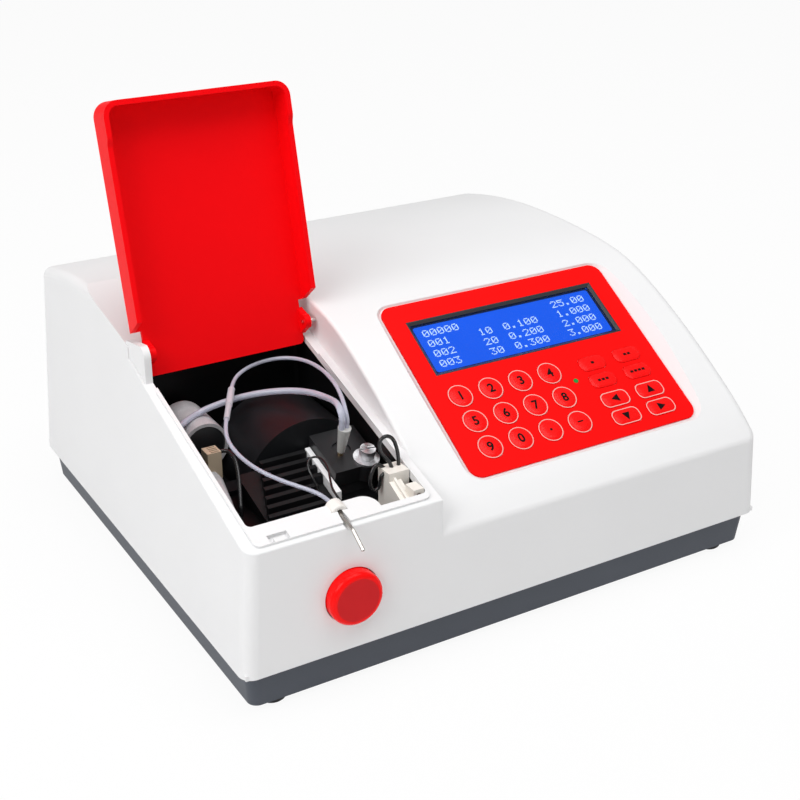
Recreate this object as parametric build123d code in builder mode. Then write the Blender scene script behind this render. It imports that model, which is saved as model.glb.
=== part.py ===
from build123d import *
import os
from math import atan, cos, pi, radians, sin, tan

# A benchtop chemistry analyzer: a white case on a dark grey base tray, a red
# hinged lid over the measuring bay on the left, and a keypad console on the
# right. Millimetres, +Z up, +X to the operator's right, -Y toward the
# operator. The origin is on the bench, under the middle of the case.

os.makedirs("parts", exist_ok=True)

# ---------------------------------------------------------------- case sizes
CASE_WIDTH = 362.0          # across the case at its lower edge
CASE_DEPTH = 330.0
CASE_CORNER_R = 8.0
CASE_TOP_Z = 170.5          # crown of the case
SPLIT_Z = 26.5              # where the case meets the base tray
WALL = 3.0
MERGE = 1.0                 # overlap of forms that grow together, and of a cut past a face
TOP_DROP = 3.5              # thickness of the case's top, measured upright
SIDE_DRAFT = 0.07           # inward lean of the side walls, mm per mm
END_DRAFT = 0.02            # inward lean of the front and rear walls
EDGE_R = 6.0                # rounding of the console's long edges
RISER_EDGE_R = 2.0          # of its edge over the bay
RIM_EDGE_R = 1.0            # of the bay's rim, outside
STEP_EDGE_R = 1.5           # of the step behind the hinge
FRONT_Y = -CASE_DEPTH / 2
REAR_Y = CASE_DEPTH / 2

TRAY_INSET = 4.0            # the tray's wall stands back from the case's wall
TRAY_DRAFT = 2.0            # and leans in by this at its foot
TRAY_WALL = 3.0
TRAY_FLOOR = 3.0
FOOT_HEIGHT = 4.9
FOOT_R = 8.0
FOOT_CHAMFER = 0.8
FOOT_X = 158.0
FOOT_Y = 148.0
RING_WIDTH = 10.0           # inner flange of the case, resting on the tray
RING_HEIGHT = 3.0

SCREW_X = 160.0
SCREW_Y = 105.0
SCREW_R = 1.7
SCREW_CLEARANCE = 0.2
SCREW_HEAD_R = 3.3
SCREW_HEAD_HEIGHT = 2.2
HEAD_RECESS = 0.5           # the head lies this deep in the tray
SCREW_SHORT = 5.0           # the screw ends this far below its post's top
CROSS_SLOT = (4.0, 0.9)
CROSS_DEPTH = 1.2
BOSS_R = 5.0
POST_HEIGHT = 20.0

# ----------------------------------------------------------------- bay sizes
RISER_X = -58.0             # upright face between the bay and the console
RIM_FRONT_Z = 101.0         # the bay's rim at the front wall
RIM_ANGLE = radians(16.5)   # the rim climbs toward the hinge
REAR_BLOCK_Y = 0.0          # the rim ends here, behind the hinge
BAY_LEFT = -167.0           # edges of the bay's opening
BAY_RIGHT = -64.0
BAY_CORNER_R = 3.0
OPENING_SETBACK = 0.5       # the opening ends this far ahead of the step
LEDGE_Y = -147.0            # the front ledge is deep on the left
LEDGE_RIGHT_Y = -157.0      # and narrow on the right of the needle guide
LEDGE_END_X = -93.0
LEDGE_END_R = 9.0
LIP_HEIGHT = 1.5            # raised rim inside the lid's flange
LIP_INSET = 4.5             # from the front wall
LIP_SIDE = 2.0              # width beside the opening, on the left
LIP_SIDE_RIGHT = 0.7
LIP_REAR_Y = -30.0
LIP_CORNER_R = 4.0
LATCH_SLOT = (-154.6, -157.6, 11.4, 5.6)    # x, y, width, depth
LATCH_TONGUE = (6.0, 2.8)
LATCH_SLOT_DEPTH = 2.6

# ----------------------------------------------------------------- lid sizes
PIN_Y = -17.5
PIN_Z = 157.5
PIN_R = 1.2
PIN_CLEARANCE = 0.05
LID_OPEN_ANGLE = radians(76.0)      # the lid's slope in the open pose
LID_LEFT = -172.5
LID_RIGHT = -59.5
LID_LENGTH = 143.0                  # hinge pin to the front edge
LID_TAIL = 14.0                     # the plate runs on past the pin
LID_TAIL_MARGIN = 1.1               # clearance to the bay's opening
LID_THICKNESS = 2.5
LID_PIN_OFFSET = 5.5                # pin axis to the plate's inner face
LID_FLANGE = 17.0                   # depth of the front flange, inside
LID_FLANGE_RELIEF = 2.0             # the side flanges are this much less deep
LID_RELIEF_END = 124.0              # from the pin, where the relief ends
LID_WALL = 3.0
LID_CORNER_R = 9.0
LID_EDGE_R = 1.8
LID_STEP = 7.0                      # length of the side flanges' rise to full depth
LID_FLANGE_START = 13.0             # the side flanges start here, on the plate
LID_FLANGE_CHAMFER = 7.3
EAR_R = 4.4
EAR_THICKNESS = 3.7
EAR_GAP = 0.4
EAR_FOOT = 8.0
LUG_R = 7.0
LUG_THICKNESS = 4.8
LUG_INSET = 0.6                     # from the case's side wall
LUG_OVERRUN = 4.0                   # into the block behind the hinge
LUG_FALL = 4.5
PIN_INSET = 10.2                    # the left pin's end, from the side of the case
PIN_STANDS = 0.8                    # past its ear

# ------------------------------------------------------------- console sizes
PANEL_ANGLE = radians(31.0)
PANEL_WIDTH = 167.0
PANEL_HEIGHT = 128.5
PANEL_CORNER_R = 8.0
PANEL_THICKNESS = 1.2
PANEL_X = 58.8                      # the panel's middle
PANEL_V = 17.3                      # up the slope from the slope's datum
PANEL_DATUM_Y = -104.7
PANEL_DATUM_Z = 120.5
POCKET_MARGIN = 1.0
POCKET_SPREAD = 9.0                 # the pocket's sides lean out by this
POCKET_DEPTH = 11.0
POCKET_FLOOR = 3.0
DISPLAY_X = 58.4
DISPLAY_V = 46.8
DISPLAY_WIDTH = 139.8
DISPLAY_HEIGHT = 41.7
DISPLAY_BEVEL = 2.2
DISPLAY_DEPTH = 1.2                 # bevelled part, below the panel's face
DISPLAY_GAP = 0.15
DISPLAY_EDGE = 0.6                  # flat edge outside the bevel
WINDOW_THICKNESS = 1.2
DISPLAY_FLANGE = 2.5
MODULE_THICKNESS = 8.0
BOARD_THICKNESS = 1.6
BOARD_DROP = 12.0                   # below the pocket's floor

KEY_R = 8.0
KEY_GAP = 0.2
KEY_PITCH_X = 21.65
KEY_PITCH_V = 18.95
KEY_FIRST_X = -4.3
KEY_FIRST_V = 8.3
KEY_CAP = 1.0
KEY_PROUD = 0.4
KEY_TRAVEL = 0.5
KEY_REST_GAP = 0.1                  # between a pressed key's stem and the board
KEY_EDGE_R = 0.4
KEY_STEM_R = 2.5
KEY_STEM_CLEARANCE = 0.3
FUNCTION_X = (93.4, 120.5)
FUNCTION_V = (8.0, -5.5)
FUNCTION_SIZE = (19.6, 10.4)
OBLONG_CORNER_R = 4.4
ARROW_V = (-20.6, -34.2)
ARROW_SIZE = (20.6, 11.2)
LED_X = 75.1
LED_V = -1.4
LED_R = 1.5
LED_FLANGE_R = 2.1
LED_FLANGE_THICKNESS = 1.0
LED_PROUD = 0.3

# -------------------------------------------------------- front button sizes
BUTTON_X = -115.4
BUTTON_Z = 60.2
BUTTON_R = 16.0
BUTTON_GAP = 0.5
BUTTON_PROUD = 6.4
BUTTON_LENGTH = 11.0
BUTTON_ROUND = 3.0
CUP_WALL = 1.4
CUP_FLOOR_Y = -149.0
CUP_FLOOR = 2.0
STEM_R = 4.0
STEM_CLEARANCE = 0.4
STEM_END_Y = -143.0
SNAP_R = 5.2
SNAP_GAP = 0.3
SNAP_THICKNESS = 3.0
SPRING_R = 8.0
SPRING_WIRE_R = 0.5
SPRING_TURNS = 4

# ------------------------------------------------------ pieces inside the bay
LINER_WALL = 2.0
LINER_LEFT = -169.4
LINER_RIGHT = -61.0
LINER_FRONT_Y = -159.5
LINER_REAR_Y = 2.0
LINER_FLOOR_Z = 85.0                # top of the floor

DRUM_X = -95.0
DRUM_Z = 82.0
DRUM_R = 40.0
DRUM_FRONT_Y = -75.0
DRUM_REAR_Y = -25.0
DRUM_WALL = 2.5
DRUM_FOOT = (16.0, 12.0)
DRUM_FOOT_HEIGHT = 3.0
DRUM_GAP = 1.5                      # clearance through the liner
WHEEL_R = 34.0
WHEEL_THICKNESS = 6.0
WHEEL_PCD = 52.0
WHEEL_HOLE_R = 5.0
WHEEL_SHAFT_R = 3.0
WHEEL_SHAFT_STANDS = 6.0            # into the motor
WHEEL_GAP = 6.0                     # behind the drum's front
WHEEL_HOLES = 8
SHAFT_CLEARANCE = 0.05
WHEEL_MOTOR_R = 14.0
WHEEL_MOTOR_LENGTH = 20.0

PUMP_X = -145.6
PUMP_Z = 105.0
PUMP_R = 14.5
PUMP_FRONT_Y = -45.0
PUMP_REAR_Y = -6.0
PUMP_WALL = 2.0
ROTOR_R = 10.5
ROTOR_THICKNESS = 8.0
ROTOR_SHAFT_R = 1.5
ROTOR_SHAFT = 14.0                  # behind the rotor
ROTOR_GAP = 4.0                     # ahead of it and behind it
ROLLER_R = 2.4
ROLLERS = 3
PUMP_ROUND = 3.0

BLOCK_X = -79.5
BLOCK_REAR_Y = -75.5
BLOCK_REAR_Z = 112.0
BLOCK_WIDTH = 29.0
BLOCK_LENGTH = 34.0
BLOCK_THICKNESS = 11.0
BLOCK_LUG_X = -71.6
BLOCK_LUG_S = -28.7                 # down the slope from the rear edge
BLOCK_LUG_R = 8.0
CELL_X = -84.1
CELL_S = -20.5
CELL_R = 1.7
CELL_STANDS = 6.0
RECESS_R = 5.6
RECESS_DEPTH = 1.2
RECESS_SHIFT = (2.7, 4.2)           # its middle from the cell's
BORE_FLOOR = 2.0                    # left under the cell and the clamp screw
POST_INSET = 4.0                    # the block's post stands this far in from its ends
SLEEVE_START = 2.5
SLEEVE_LENGTH = 17.5
SLEEVE_R = 2.3
SLEEVE_TOP_R = 3.9
SCREW_CAP_R = 4.6
SCREW_CAP_HEIGHT = 6.4
CLAMP_WASHER_R = 7.8
CLAMP_WASHER_HEIGHT = 1.1
SCREW_SLOT = (1.0, 1.6)              # width and depth
SCREW_SLOT_TURN = -6

SINK_LEFT = -141.0
SINK_RIGHT = -98.0
SINK_REAR_Y = -77.0
SINK_FRONT_Y = -121.0
SINK_TOP_Z = 105.0                  # rib tops at the rear edge
SINK_RIB = 2.6
SINK_PITCH = 6.6
SINK_RIBS = 7
SINK_RIB_HEIGHT = 5.5
SINK_LONG_RIBS = 4                  # the ribs ahead of these are shorter on the right
SINK_RIB_SHORT = 6.0
STRIP_WIDTH = 3.2                   # probe strip beside the heat sink
STRIP_HEIGHT = 20.5
STRIP_LENGTH = 38.0
SINK_STEP_X = 14.0                  # the rear rib is shorter by this at its left

LAMP_R = 3.6
LAMP_SHIFT = 2.0                    # its start is left of the connector's middle
LAMP_END_X = -158.6
LAMP_END_Y = -113.5
LAMP_ELBOW = 8.5                    # height of its elbow above the floor
LAMP_START_RISE = 2.0               # above the connector's foot
LAMP_START_RUN = 6.0
LAMP_END_RUN = 7.5
LAMP_BENDS = [9.0, 7.0]
CONNECTOR_SIZE = (8.4, 9.0, 17.0)
CONNECTOR_PLACE = (-150.6, -65.0, 96.0)
CONNECTOR_SLOTS = 4
CONNECTOR_PITCH = 2.14
CONNECTOR_SLOT = (5.0, 1.2, 0.8, 5.0)       # width, length, shift and depth

BRACKET_LEFT = -77.4
BRACKET_RIGHT = -64.6
BRACKET_REAR_Y = -126.8
BRACKET_HEAD_DEPTH = 12.0
BRACKET_HEAD_TOP = 111.0
BRACKET_BODY_WIDTH = 7.6
BRACKET_FIN_X = -74.6
BRACKET_FIN = 1.4
BRACKET_FRONT_Y = -154.6
BRACKET_FRONT_TOP = 99.0
BRACKET_FOOT_WIDTH = 6.4
BRACKET_FOOT_DEPTH = 9.0
BRACKET_FOOT_TOP = 106.5
BRACKET_HOLE_R = 1.8
BRACKET_HOLE_DROP = 4.0             # below the foot's top
BRACKET_HOLE_FLOOR = 2.0
BRACKET_FIN_RISE = 2.0
BRACKET_BODY_SETBACK = 1.0
BRACKET_BODY_DROP = 3.0

GUIDE_X = -116.0
GUIDE_HOLE_Y = -152.5
GUIDE_HOLE_Z = 104.3
NEEDLE_DROP = radians(9.6)          # slope of the needle through its guide
NEEDLE_BEND = radians(32.2)         # slope of its tip
NEEDLE_R = 1.1
NEEDLE_BORE_R = 0.6
NEEDLE_REAR_Y = -142.8
NEEDLE_BEND_Y = -167.0
NEEDLE_TIP = 13.2                   # length past the bend
NEEDLE_BEND_R = 5.0
BOSS_OUTER_R = 5.2
BOSS_STANDS = 2.5                   # the guide ends this far behind the ledge
BOSS_ROUND = 1.2
BOSS_MOUTH_R = 2.7
BOSS_MOUTH_DEPTH = 4.0
GROOVE_R = 2.3                      # groove in the rim ahead of the guide

THIN_TUBE_R = 1.2
THIN_TUBE_SHIFT = 1.6               # beside the sleeve's middle
WASTE_TUBE_R = 1.9
CABLE_R = 1.2
PROBE_WIRE_R = 0.65
INTERLOCK_WIRE_R = 1.1
WIRE_CLEARANCE = 0.1                # round the wires in the bracket
UNION_R = 2.1
UNION_NARROW_R = 1.75
UNION_WIDE_SHARE = 0.55             # of its length
UNION_LEAD = 9.0                    # the tubes run straight into it over these lengths
UNION_TAIL = 7.0
NEEDLE_LEAD = 4.8                   # and over this into the needle
SCREW_SHANK_R = 2.2
SHANK_GAP = 1.0                     # under the clamp screw's end
DISPLAY_FLANGE_THICKNESS = 1.5
BOARD_WIDTH = 160.0
BOARD_HEIGHT = 66.0
PILLAR_R = 3.0
PILLAR_INSET = 4.0

# -------------------------------------------------------------- rear panel
INLET_X = 110.0
INLET_Z = 62.0
INLET_WIDTH = 27.0
INLET_HEIGHT = 19.5
OUTLET_X = -140.0
OUTLET_Z = 70.0
OUTLET_R = 2.4
OUTLET_BORE_R = 1.3
OUTLET_FLANGE_R = 7.0
OUTLET_FLANGE = 2.5
OUTLET_SHANK_R = 4.0
OUTLET_SHANK = 12.0
OUTLET_CHAMFER = 0.5
INLET_FLANGE = (33.0, 25.5, 2.0)
INLET_DEPTH = 24.0
INLET_SOCKET_DEPTH = 18.0
INLET_WALL = 2.0
INLET_CORNER_R = 2.0
INLET_CHAMFER = 4.0                 # of the socket's upper corners
INLET_PINS = [(-7, -2.5), (7, -2.5), (0, 2.5)]
INLET_PIN = (2.0, 4.0)
INLET_PIN_SHORT = 3.0               # the pins end this far inside the socket


# ------------------------------------------------------------ shared places
def rim_z(y):
    """Height of the bay's rim at a place along Y."""
    return RIM_FRONT_Z + tan(RIM_ANGLE) * (y - FRONT_Y)


def sloped(x, y, z, angle):
    """A plane through a point, rising toward +Y at an angle."""
    return Plane(origin=(x, y, z), x_dir=(1, 0, 0), z_dir=(0, -sin(angle), cos(angle)))


def panel_plane(lift=0.0):
    """The keypad's plane, raised square to itself. Its local y runs up the slope."""
    return sloped(
        0,
        PANEL_DATUM_Y - sin(PANEL_ANGLE) * lift,
        PANEL_DATUM_Z + cos(PANEL_ANGLE) * lift,
        PANEL_ANGLE,
    )


def rim_plane(lift=0.0):
    """The bay rim's plane. Its local y runs up the slope from the front wall."""
    return sloped(0, FRONT_Y - sin(RIM_ANGLE) * lift, RIM_FRONT_Z + cos(RIM_ANGLE) * lift, RIM_ANGLE)


def block_plane(lift=0.0):
    """The flow cell block's top plane, from its rear edge."""
    return sloped(
        0,
        BLOCK_REAR_Y - sin(RIM_ANGLE) * lift,
        BLOCK_REAR_Z + cos(RIM_ANGLE) * lift,
        RIM_ANGLE,
    )


def lid_plane(lift=0.0):
    """The lid's plane through the hinge pin in the open pose; +Z faces the bay."""
    return sloped(
        0,
        PIN_Y - sin(LID_OPEN_ANGLE) * lift,
        PIN_Z + cos(LID_OPEN_ANGLE) * lift,
        LID_OPEN_ANGLE,
    )


def needle_axis(y):
    """A point on the needle's straight part."""
    return Vector(GUIDE_X, y, GUIDE_HOLE_Z + tan(NEEDLE_DROP) * (y - GUIDE_HOLE_Y))


def needle_plane(y):
    """A plane across the needle's straight part, facing the rear."""
    return Plane(origin=needle_axis(y), x_dir=(1, 0, 0), z_dir=(0, cos(NEEDLE_DROP), sin(NEEDLE_DROP)))


def rear_wall(x, z):
    """The rear wall's outer face; its local x runs to the operator's left."""
    lean = atan(END_DRAFT)
    return Plane(
        origin=(x, REAR_Y - END_DRAFT * (z - SPLIT_Z), z),
        x_dir=(-1, 0, 0),
        z_dir=(0, cos(lean), sin(lean)),
    )


def cord_radii(points):
    """For each inner corner of a route, the arc as large as its two runs allow."""
    radii = []
    for before, here, after in zip(points, points[1:], points[2:]):
        run_in = Vector(*here) - Vector(*before)
        run_out = Vector(*after) - Vector(*here)
        half_turn = radians(run_in.get_angle(run_out)) / 2
        radii.append(0.45 * min(run_in.length, run_out.length) / tan(half_turn))
    return radii


def cord(name, points, radius):
    """A solid round cord along straight runs joined by tangent arcs."""
    radii = cord_radii(points)
    print(name, "bend radii", [round(r, 1) for r in radii])
    with BuildPart() as piece:
        with BuildLine():
            route = FilletPolyline(*points, radius=radii)
        with BuildSketch(Plane(origin=route @ 0, z_dir=route % 0)):
            Circle(radius)
        sweep()
    expected = pi * radius**2 * route.length
    print(name, "volume", round(piece.part.volume, 1), "of", round(expected, 1))
    return piece


# The console's top line from front to rear.
CONSOLE_LINE = [
    (FRONT_Y - 3.0, 74.5),
    (-147.0, 97.0),
    (-126.0, 113.0),
    (-105.0, 127.5),
    (-83.0, 141.0),
    (-60.0, 153.0),
    (-40.0, 161.4),
    (-20.0, 166.2),
    (5.0, 169.0),
    (45.0, CASE_TOP_Z),
    (85.0, CASE_TOP_Z - 1.0),
    (120.0, 165.5),
    (REAR_Y + 5.0, 154.5),
]

# The top line of the block behind the hinge, until it meets the console's line.
REAR_BLOCK_LINE = [
    (REAR_BLOCK_Y, 157.5),
    (24.0, 162.0),
    (49.0, 165.8),
    (78.0, 169.4),
    (100.0, 172.6),
]
PAST_CASE = 20.0            # the cuts run this far past the case
SKY_Z = CASE_TOP_Z + 2 * PAST_CASE
REAR_BLOCK_SLOPE = 0.2      # of its first stretch
FORM_TOP_Z = CASE_TOP_Z + 8.0
JOIN_Y = 60.0               # the two top lines cross behind here
TOUCH = 0.1                 # an edge this near to a plane lies in it
NEAR_WALL = 15.0            # an edge this near to a wall belongs to it
RIM_LEVEL = 4.0             # an edge this far below the rim still belongs to it


def above_console(drop):
    """The face between the console's top line, lowered by a drop, and the sky."""
    with BuildSketch() as sky:
        with BuildLine():
            line = Spline([(y, z - drop) for y, z in CONSOLE_LINE])
            Polyline(line @ 1, (CONSOLE_LINE[-1][0], SKY_Z), (CONSOLE_LINE[0][0], SKY_Z), line @ 0)
        make_face()
    return sky.sketch_local


def case_form(inset, drop):
    """The case's outer form, or with an inset and a drop its inner form."""
    rise = FORM_TOP_Z - SPLIT_Z
    top_width = CASE_WIDTH - 2 * SIDE_DRAFT * rise
    top_depth = CASE_DEPTH - 2 * END_DRAFT * rise
    corner = CASE_CORNER_R - inset
    ahead = FRONT_Y - PAST_CASE
    with BuildPart() as form:
        with BuildSketch(Plane.XY.offset(SPLIT_Z)):
            RectangleRounded(CASE_WIDTH - 2 * inset, CASE_DEPTH - 2 * inset, corner)
        with BuildSketch(Plane.XY.offset(FORM_TOP_Z)):
            RectangleRounded(top_width - 2 * inset, top_depth - 2 * inset, corner)
        loft(ruled=True)
        # above the console, and above the same line at the rear of the bay's side
        with BuildSketch(Plane.YZ.offset(RISER_X - inset)):
            add(above_console(drop))
        extrude(amount=CASE_WIDTH, mode=Mode.SUBTRACT)
        with BuildSketch(Plane.YZ.offset(RISER_X - inset)):
            add(above_console(drop))
            with Locations((JOIN_Y + REAR_Y, SKY_Z)):
                Rectangle(2 * REAR_Y, 2 * SKY_Z, mode=Mode.INTERSECT)
        extrude(amount=-CASE_WIDTH, mode=Mode.SUBTRACT)
        # above the bay's rim and the block behind the hinge
        with BuildSketch(Plane.YZ.offset(RISER_X + inset)):
            with BuildLine():
                step_y = REAR_BLOCK_LINE[0][0] + inset
                step_z = REAR_BLOCK_LINE[0][1] + REAR_BLOCK_SLOPE * inset - drop
                line = Spline([(step_y, step_z)] + [(y, z - drop) for y, z in REAR_BLOCK_LINE[1:]])
                Polyline(
                    line @ 1,
                    (REAR_BLOCK_LINE[-1][0], SKY_Z),
                    (ahead, SKY_Z),
                    (ahead, rim_z(ahead) - drop),
                    (step_y, rim_z(step_y) - drop),
                    line @ 0,
                )
            make_face()
        extrude(amount=-CASE_WIDTH, mode=Mode.SUBTRACT)
    return form.part


def edges_where(form, test):
    """The form's edges whose bounding box passes a test."""
    return [edge for edge in form.edges() if test(edge.bounding_box())]


def on_riser(box):
    """An edge that runs along the riser's whole face."""
    upright = abs(box.min.X - RISER_X) < TOUCH and abs(box.max.X - RISER_X) < TOUCH
    return upright and box.size.Y > CASE_DEPTH / 2


def on_console(box):
    """The console's long right edge, the top edges of the rear with their corners, and the front edge."""
    right = box.min.X > near_side and box.size.Y > 0.75 * CASE_DEPTH and box.max.Z > high_up
    rear = box.min.Y > REAR_Y - NEAR_WALL and box.min.Z > high_up and box.size.Z < EDGE_R
    front = box.max.Y < FRONT_Y + NEAR_WALL and box.max.X > near_side and box.size.X > WALL
    low = box.min.Z > CONSOLE_LINE[0][1] - NEAR_WALL and box.max.Z < CONSOLE_LINE[1][1]
    return right or rear or (front and low)


def on_rim(box):
    """The rim's edge at the front, its corner and the edge on the left side."""
    beside = box.max.X < RISER_X + 1 and box.min.X < RISER_X - 0.5
    along = box.min.Y < REAR_BLOCK_Y - 1 and box.max.Y < REAR_BLOCK_Y + TOUCH
    level = box.min.Z > RIM_FRONT_Z - RIM_LEVEL and box.max.Z < rim_z(REAR_BLOCK_Y) + 1
    return beside and along and level and (box.size.Y > CASE_DEPTH / 3 or box.max.Y < FRONT_Y + NEAR_WALL)


def on_step(box):
    """The top edge of the step behind the hinge."""
    across = abs(box.min.Y - REAR_BLOCK_Y) < TOUCH and abs(box.max.Y - REAR_BLOCK_Y) < TOUCH
    return across and box.max.X < RISER_X + 1 and box.min.Z > REAR_BLOCK_LINE[0][1] - 1


# ------------------------------------------------------------------ the case
near_side = CASE_WIDTH / 2 - SIDE_DRAFT * (FORM_TOP_Z - SPLIT_Z) - EDGE_R
high_up = 0.8 * CASE_TOP_Z
with BuildPart() as rounded_form:
    add(case_form(0, 0))
    fillet(edges_where(rounded_form, on_riser), RISER_EDGE_R)
    fillet(edges_where(rounded_form, on_console), EDGE_R)
    fillet(edges_where(rounded_form, on_rim), RIM_EDGE_R)
    fillet(edges_where(rounded_form, on_step), STEP_EDGE_R)
outer_form = rounded_form.part
inner_form = case_form(WALL, TOP_DROP)

# The shell under the keypad: a sloped slab that the pocket is sunk into.
with BuildPart() as pocket_tub:
    with BuildSketch(panel_plane(-PANEL_THICKNESS - POCKET_FLOOR)):
        with Locations((PANEL_X, PANEL_V)):
            Rectangle(PANEL_WIDTH + 2 * POCKET_SPREAD, PANEL_HEIGHT + 2 * POCKET_SPREAD)
    extrude(amount=POCKET_DEPTH + POCKET_FLOOR)
    add(outer_form, mode=Mode.INTERSECT)

lug_left = -(CASE_WIDTH / 2 - SIDE_DRAFT * (PIN_Z - SPLIT_Z)) + LUG_INSET
pin_left = -CASE_WIDTH / 2 + PIN_INSET
opening_rear_y = REAR_BLOCK_Y - OPENING_SETBACK
with BuildPart() as top_cover:
    add(outer_form)
    add(inner_form, mode=Mode.SUBTRACT)
    add(pocket_tub.part)
    # inner flange that rests on the tray
    with BuildSketch(Plane.XY.offset(SPLIT_Z)):
        Rectangle(CASE_WIDTH - WALL, CASE_DEPTH - WALL)
        Rectangle(CASE_WIDTH - 2 * RING_WIDTH, CASE_DEPTH - 2 * RING_WIDTH, mode=Mode.SUBTRACT)
    extrude(amount=RING_HEIGHT)
    # posts for the case screws
    with BuildSketch(Plane.XY.offset(SPLIT_Z)):
        with GridLocations(2 * SCREW_X, 2 * SCREW_Y, 2, 2):
            Rectangle(CASE_WIDTH - WALL - 2 * SCREW_X, 2 * BOSS_R)
    extrude(amount=POST_HEIGHT)
    # raised lip round the opening
    lip_left = BAY_LEFT - LIP_SIDE
    lip_right = BAY_RIGHT + LIP_SIDE_RIGHT
    lip_front_s = LIP_INSET / cos(RIM_ANGLE)
    lip_rear_s = (LIP_REAR_Y - FRONT_Y) / cos(RIM_ANGLE)
    with BuildSketch(rim_plane(-MERGE)):
        with Locations(((lip_left + lip_right) / 2, (lip_front_s + lip_rear_s) / 2)):
            RectangleRounded(lip_right - lip_left, lip_rear_s - lip_front_s, LIP_CORNER_R)
    extrude(amount=LIP_HEIGHT + MERGE)
    # cup behind the front wall for the button
    with BuildSketch(Plane.XZ.offset(-CUP_FLOOR_Y - CUP_FLOOR)):
        with Locations((BUTTON_X, BUTTON_Z)):
            Circle(BUTTON_R + BUTTON_GAP + CUP_WALL)
    extrude(amount=CUP_FLOOR_Y + CUP_FLOOR - FRONT_Y - WALL / 2)
    # the white lug that holds the left hinge pin
    lug_front = (PIN_Y - LUG_R, PIN_Z)
    lug_top = (PIN_Y - LUG_R * sin(RIM_ANGLE), PIN_Z + LUG_R * cos(RIM_ANGLE))
    lug_rear_y = REAR_BLOCK_Y + LUG_OVERRUN
    with BuildSketch(Plane.YZ.offset(lug_left)):
        with BuildLine():
            Polyline(
                lug_top,
                (lug_rear_y, lug_top[1] - LUG_FALL),
                (lug_rear_y, rim_z(lug_rear_y) - TOP_DROP + MERGE),
                (lug_front[0], rim_z(lug_front[0]) - TOP_DROP + MERGE),
                lug_front,
            )
            RadiusArc(lug_front, lug_top, LUG_R)
        make_face()
    extrude(amount=LUG_THICKNESS)
    # the bay's opening
    with BuildSketch(Plane.XY.offset(LINER_FLOOR_Z + WALL)) as opening:
        with BuildLine():
            Polyline(
                (BAY_LEFT, LEDGE_Y),
                (LEDGE_END_X, LEDGE_Y),
                (LEDGE_END_X, LEDGE_RIGHT_Y),
                (BAY_RIGHT, LEDGE_RIGHT_Y),
                (BAY_RIGHT, opening_rear_y),
                (BAY_LEFT, opening_rear_y),
                close=True,
            )
        make_face()
        ledge_end = opening.vertices().sort_by_distance((LEDGE_END_X, LEDGE_Y, 0))[0]
        fillet(ledge_end, LEDGE_END_R)
        fillet([v for v in opening.vertices() if abs(v.X - LEDGE_END_X) > LEDGE_END_R + 1], BAY_CORNER_R)
    extrude(amount=SKY_Z - LINER_FLOOR_Z - WALL, mode=Mode.SUBTRACT)
    # latch slot in the ledge, with its tongue
    slot_x, slot_y, slot_width, slot_depth = LATCH_SLOT
    slot_s = (slot_y - FRONT_Y) / cos(RIM_ANGLE)
    with BuildSketch(rim_plane(LIP_HEIGHT - LATCH_SLOT_DEPTH)):
        with Locations((slot_x, slot_s)):
            Rectangle(slot_width, slot_depth)
        with Locations((slot_x, slot_s - (slot_depth - LATCH_TONGUE[1]) / 2)):
            Rectangle(*LATCH_TONGUE, mode=Mode.SUBTRACT)
    extrude(amount=LATCH_SLOT_DEPTH + MERGE, mode=Mode.SUBTRACT)
    # channel that the needle guide sits in, and the button's bore
    with BuildSketch(needle_plane(GUIDE_HOLE_Y)):
        Circle(BOSS_OUTER_R)
    extrude(amount=LEDGE_Y - GUIDE_HOLE_Y + BOSS_STANDS + MERGE, mode=Mode.SUBTRACT)
    with BuildSketch(needle_plane(FRONT_Y - WALL)):
        Circle(GROOVE_R)
    extrude(amount=GUIDE_HOLE_Y - FRONT_Y + WALL + MERGE, mode=Mode.SUBTRACT)
    with BuildSketch(Plane.XZ.offset(-CUP_FLOOR_Y)):
        with Locations((BUTTON_X, BUTTON_Z)):
            Circle(BUTTON_R + BUTTON_GAP)
    extrude(amount=CUP_FLOOR_Y - FRONT_Y + WALL, mode=Mode.SUBTRACT)
    with BuildSketch(Plane.XZ.offset(-CUP_FLOOR_Y - CUP_FLOOR - MERGE)):
        with Locations((BUTTON_X, BUTTON_Z)):
            Circle(STEM_R + STEM_CLEARANCE)
    extrude(amount=CUP_FLOOR + 2 * MERGE, mode=Mode.SUBTRACT)
    # the keypad's pocket
    floor_plane = panel_plane(-PANEL_THICKNESS)
    pocket_width = PANEL_WIDTH + 2 * POCKET_MARGIN
    pocket_height = PANEL_HEIGHT + 2 * POCKET_MARGIN
    with BuildSketch(floor_plane):
        with Locations((PANEL_X, PANEL_V)):
            RectangleRounded(pocket_width, pocket_height, PANEL_CORNER_R + POCKET_MARGIN)
    with BuildSketch(floor_plane.offset(POCKET_DEPTH)):
        with Locations((PANEL_X, PANEL_V)):
            RectangleRounded(
                pocket_width + 2 * POCKET_SPREAD,
                pocket_height + 2 * POCKET_SPREAD,
                PANEL_CORNER_R + POCKET_MARGIN + POCKET_SPREAD,
            )
    loft(ruled=True, mode=Mode.SUBTRACT)
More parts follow.
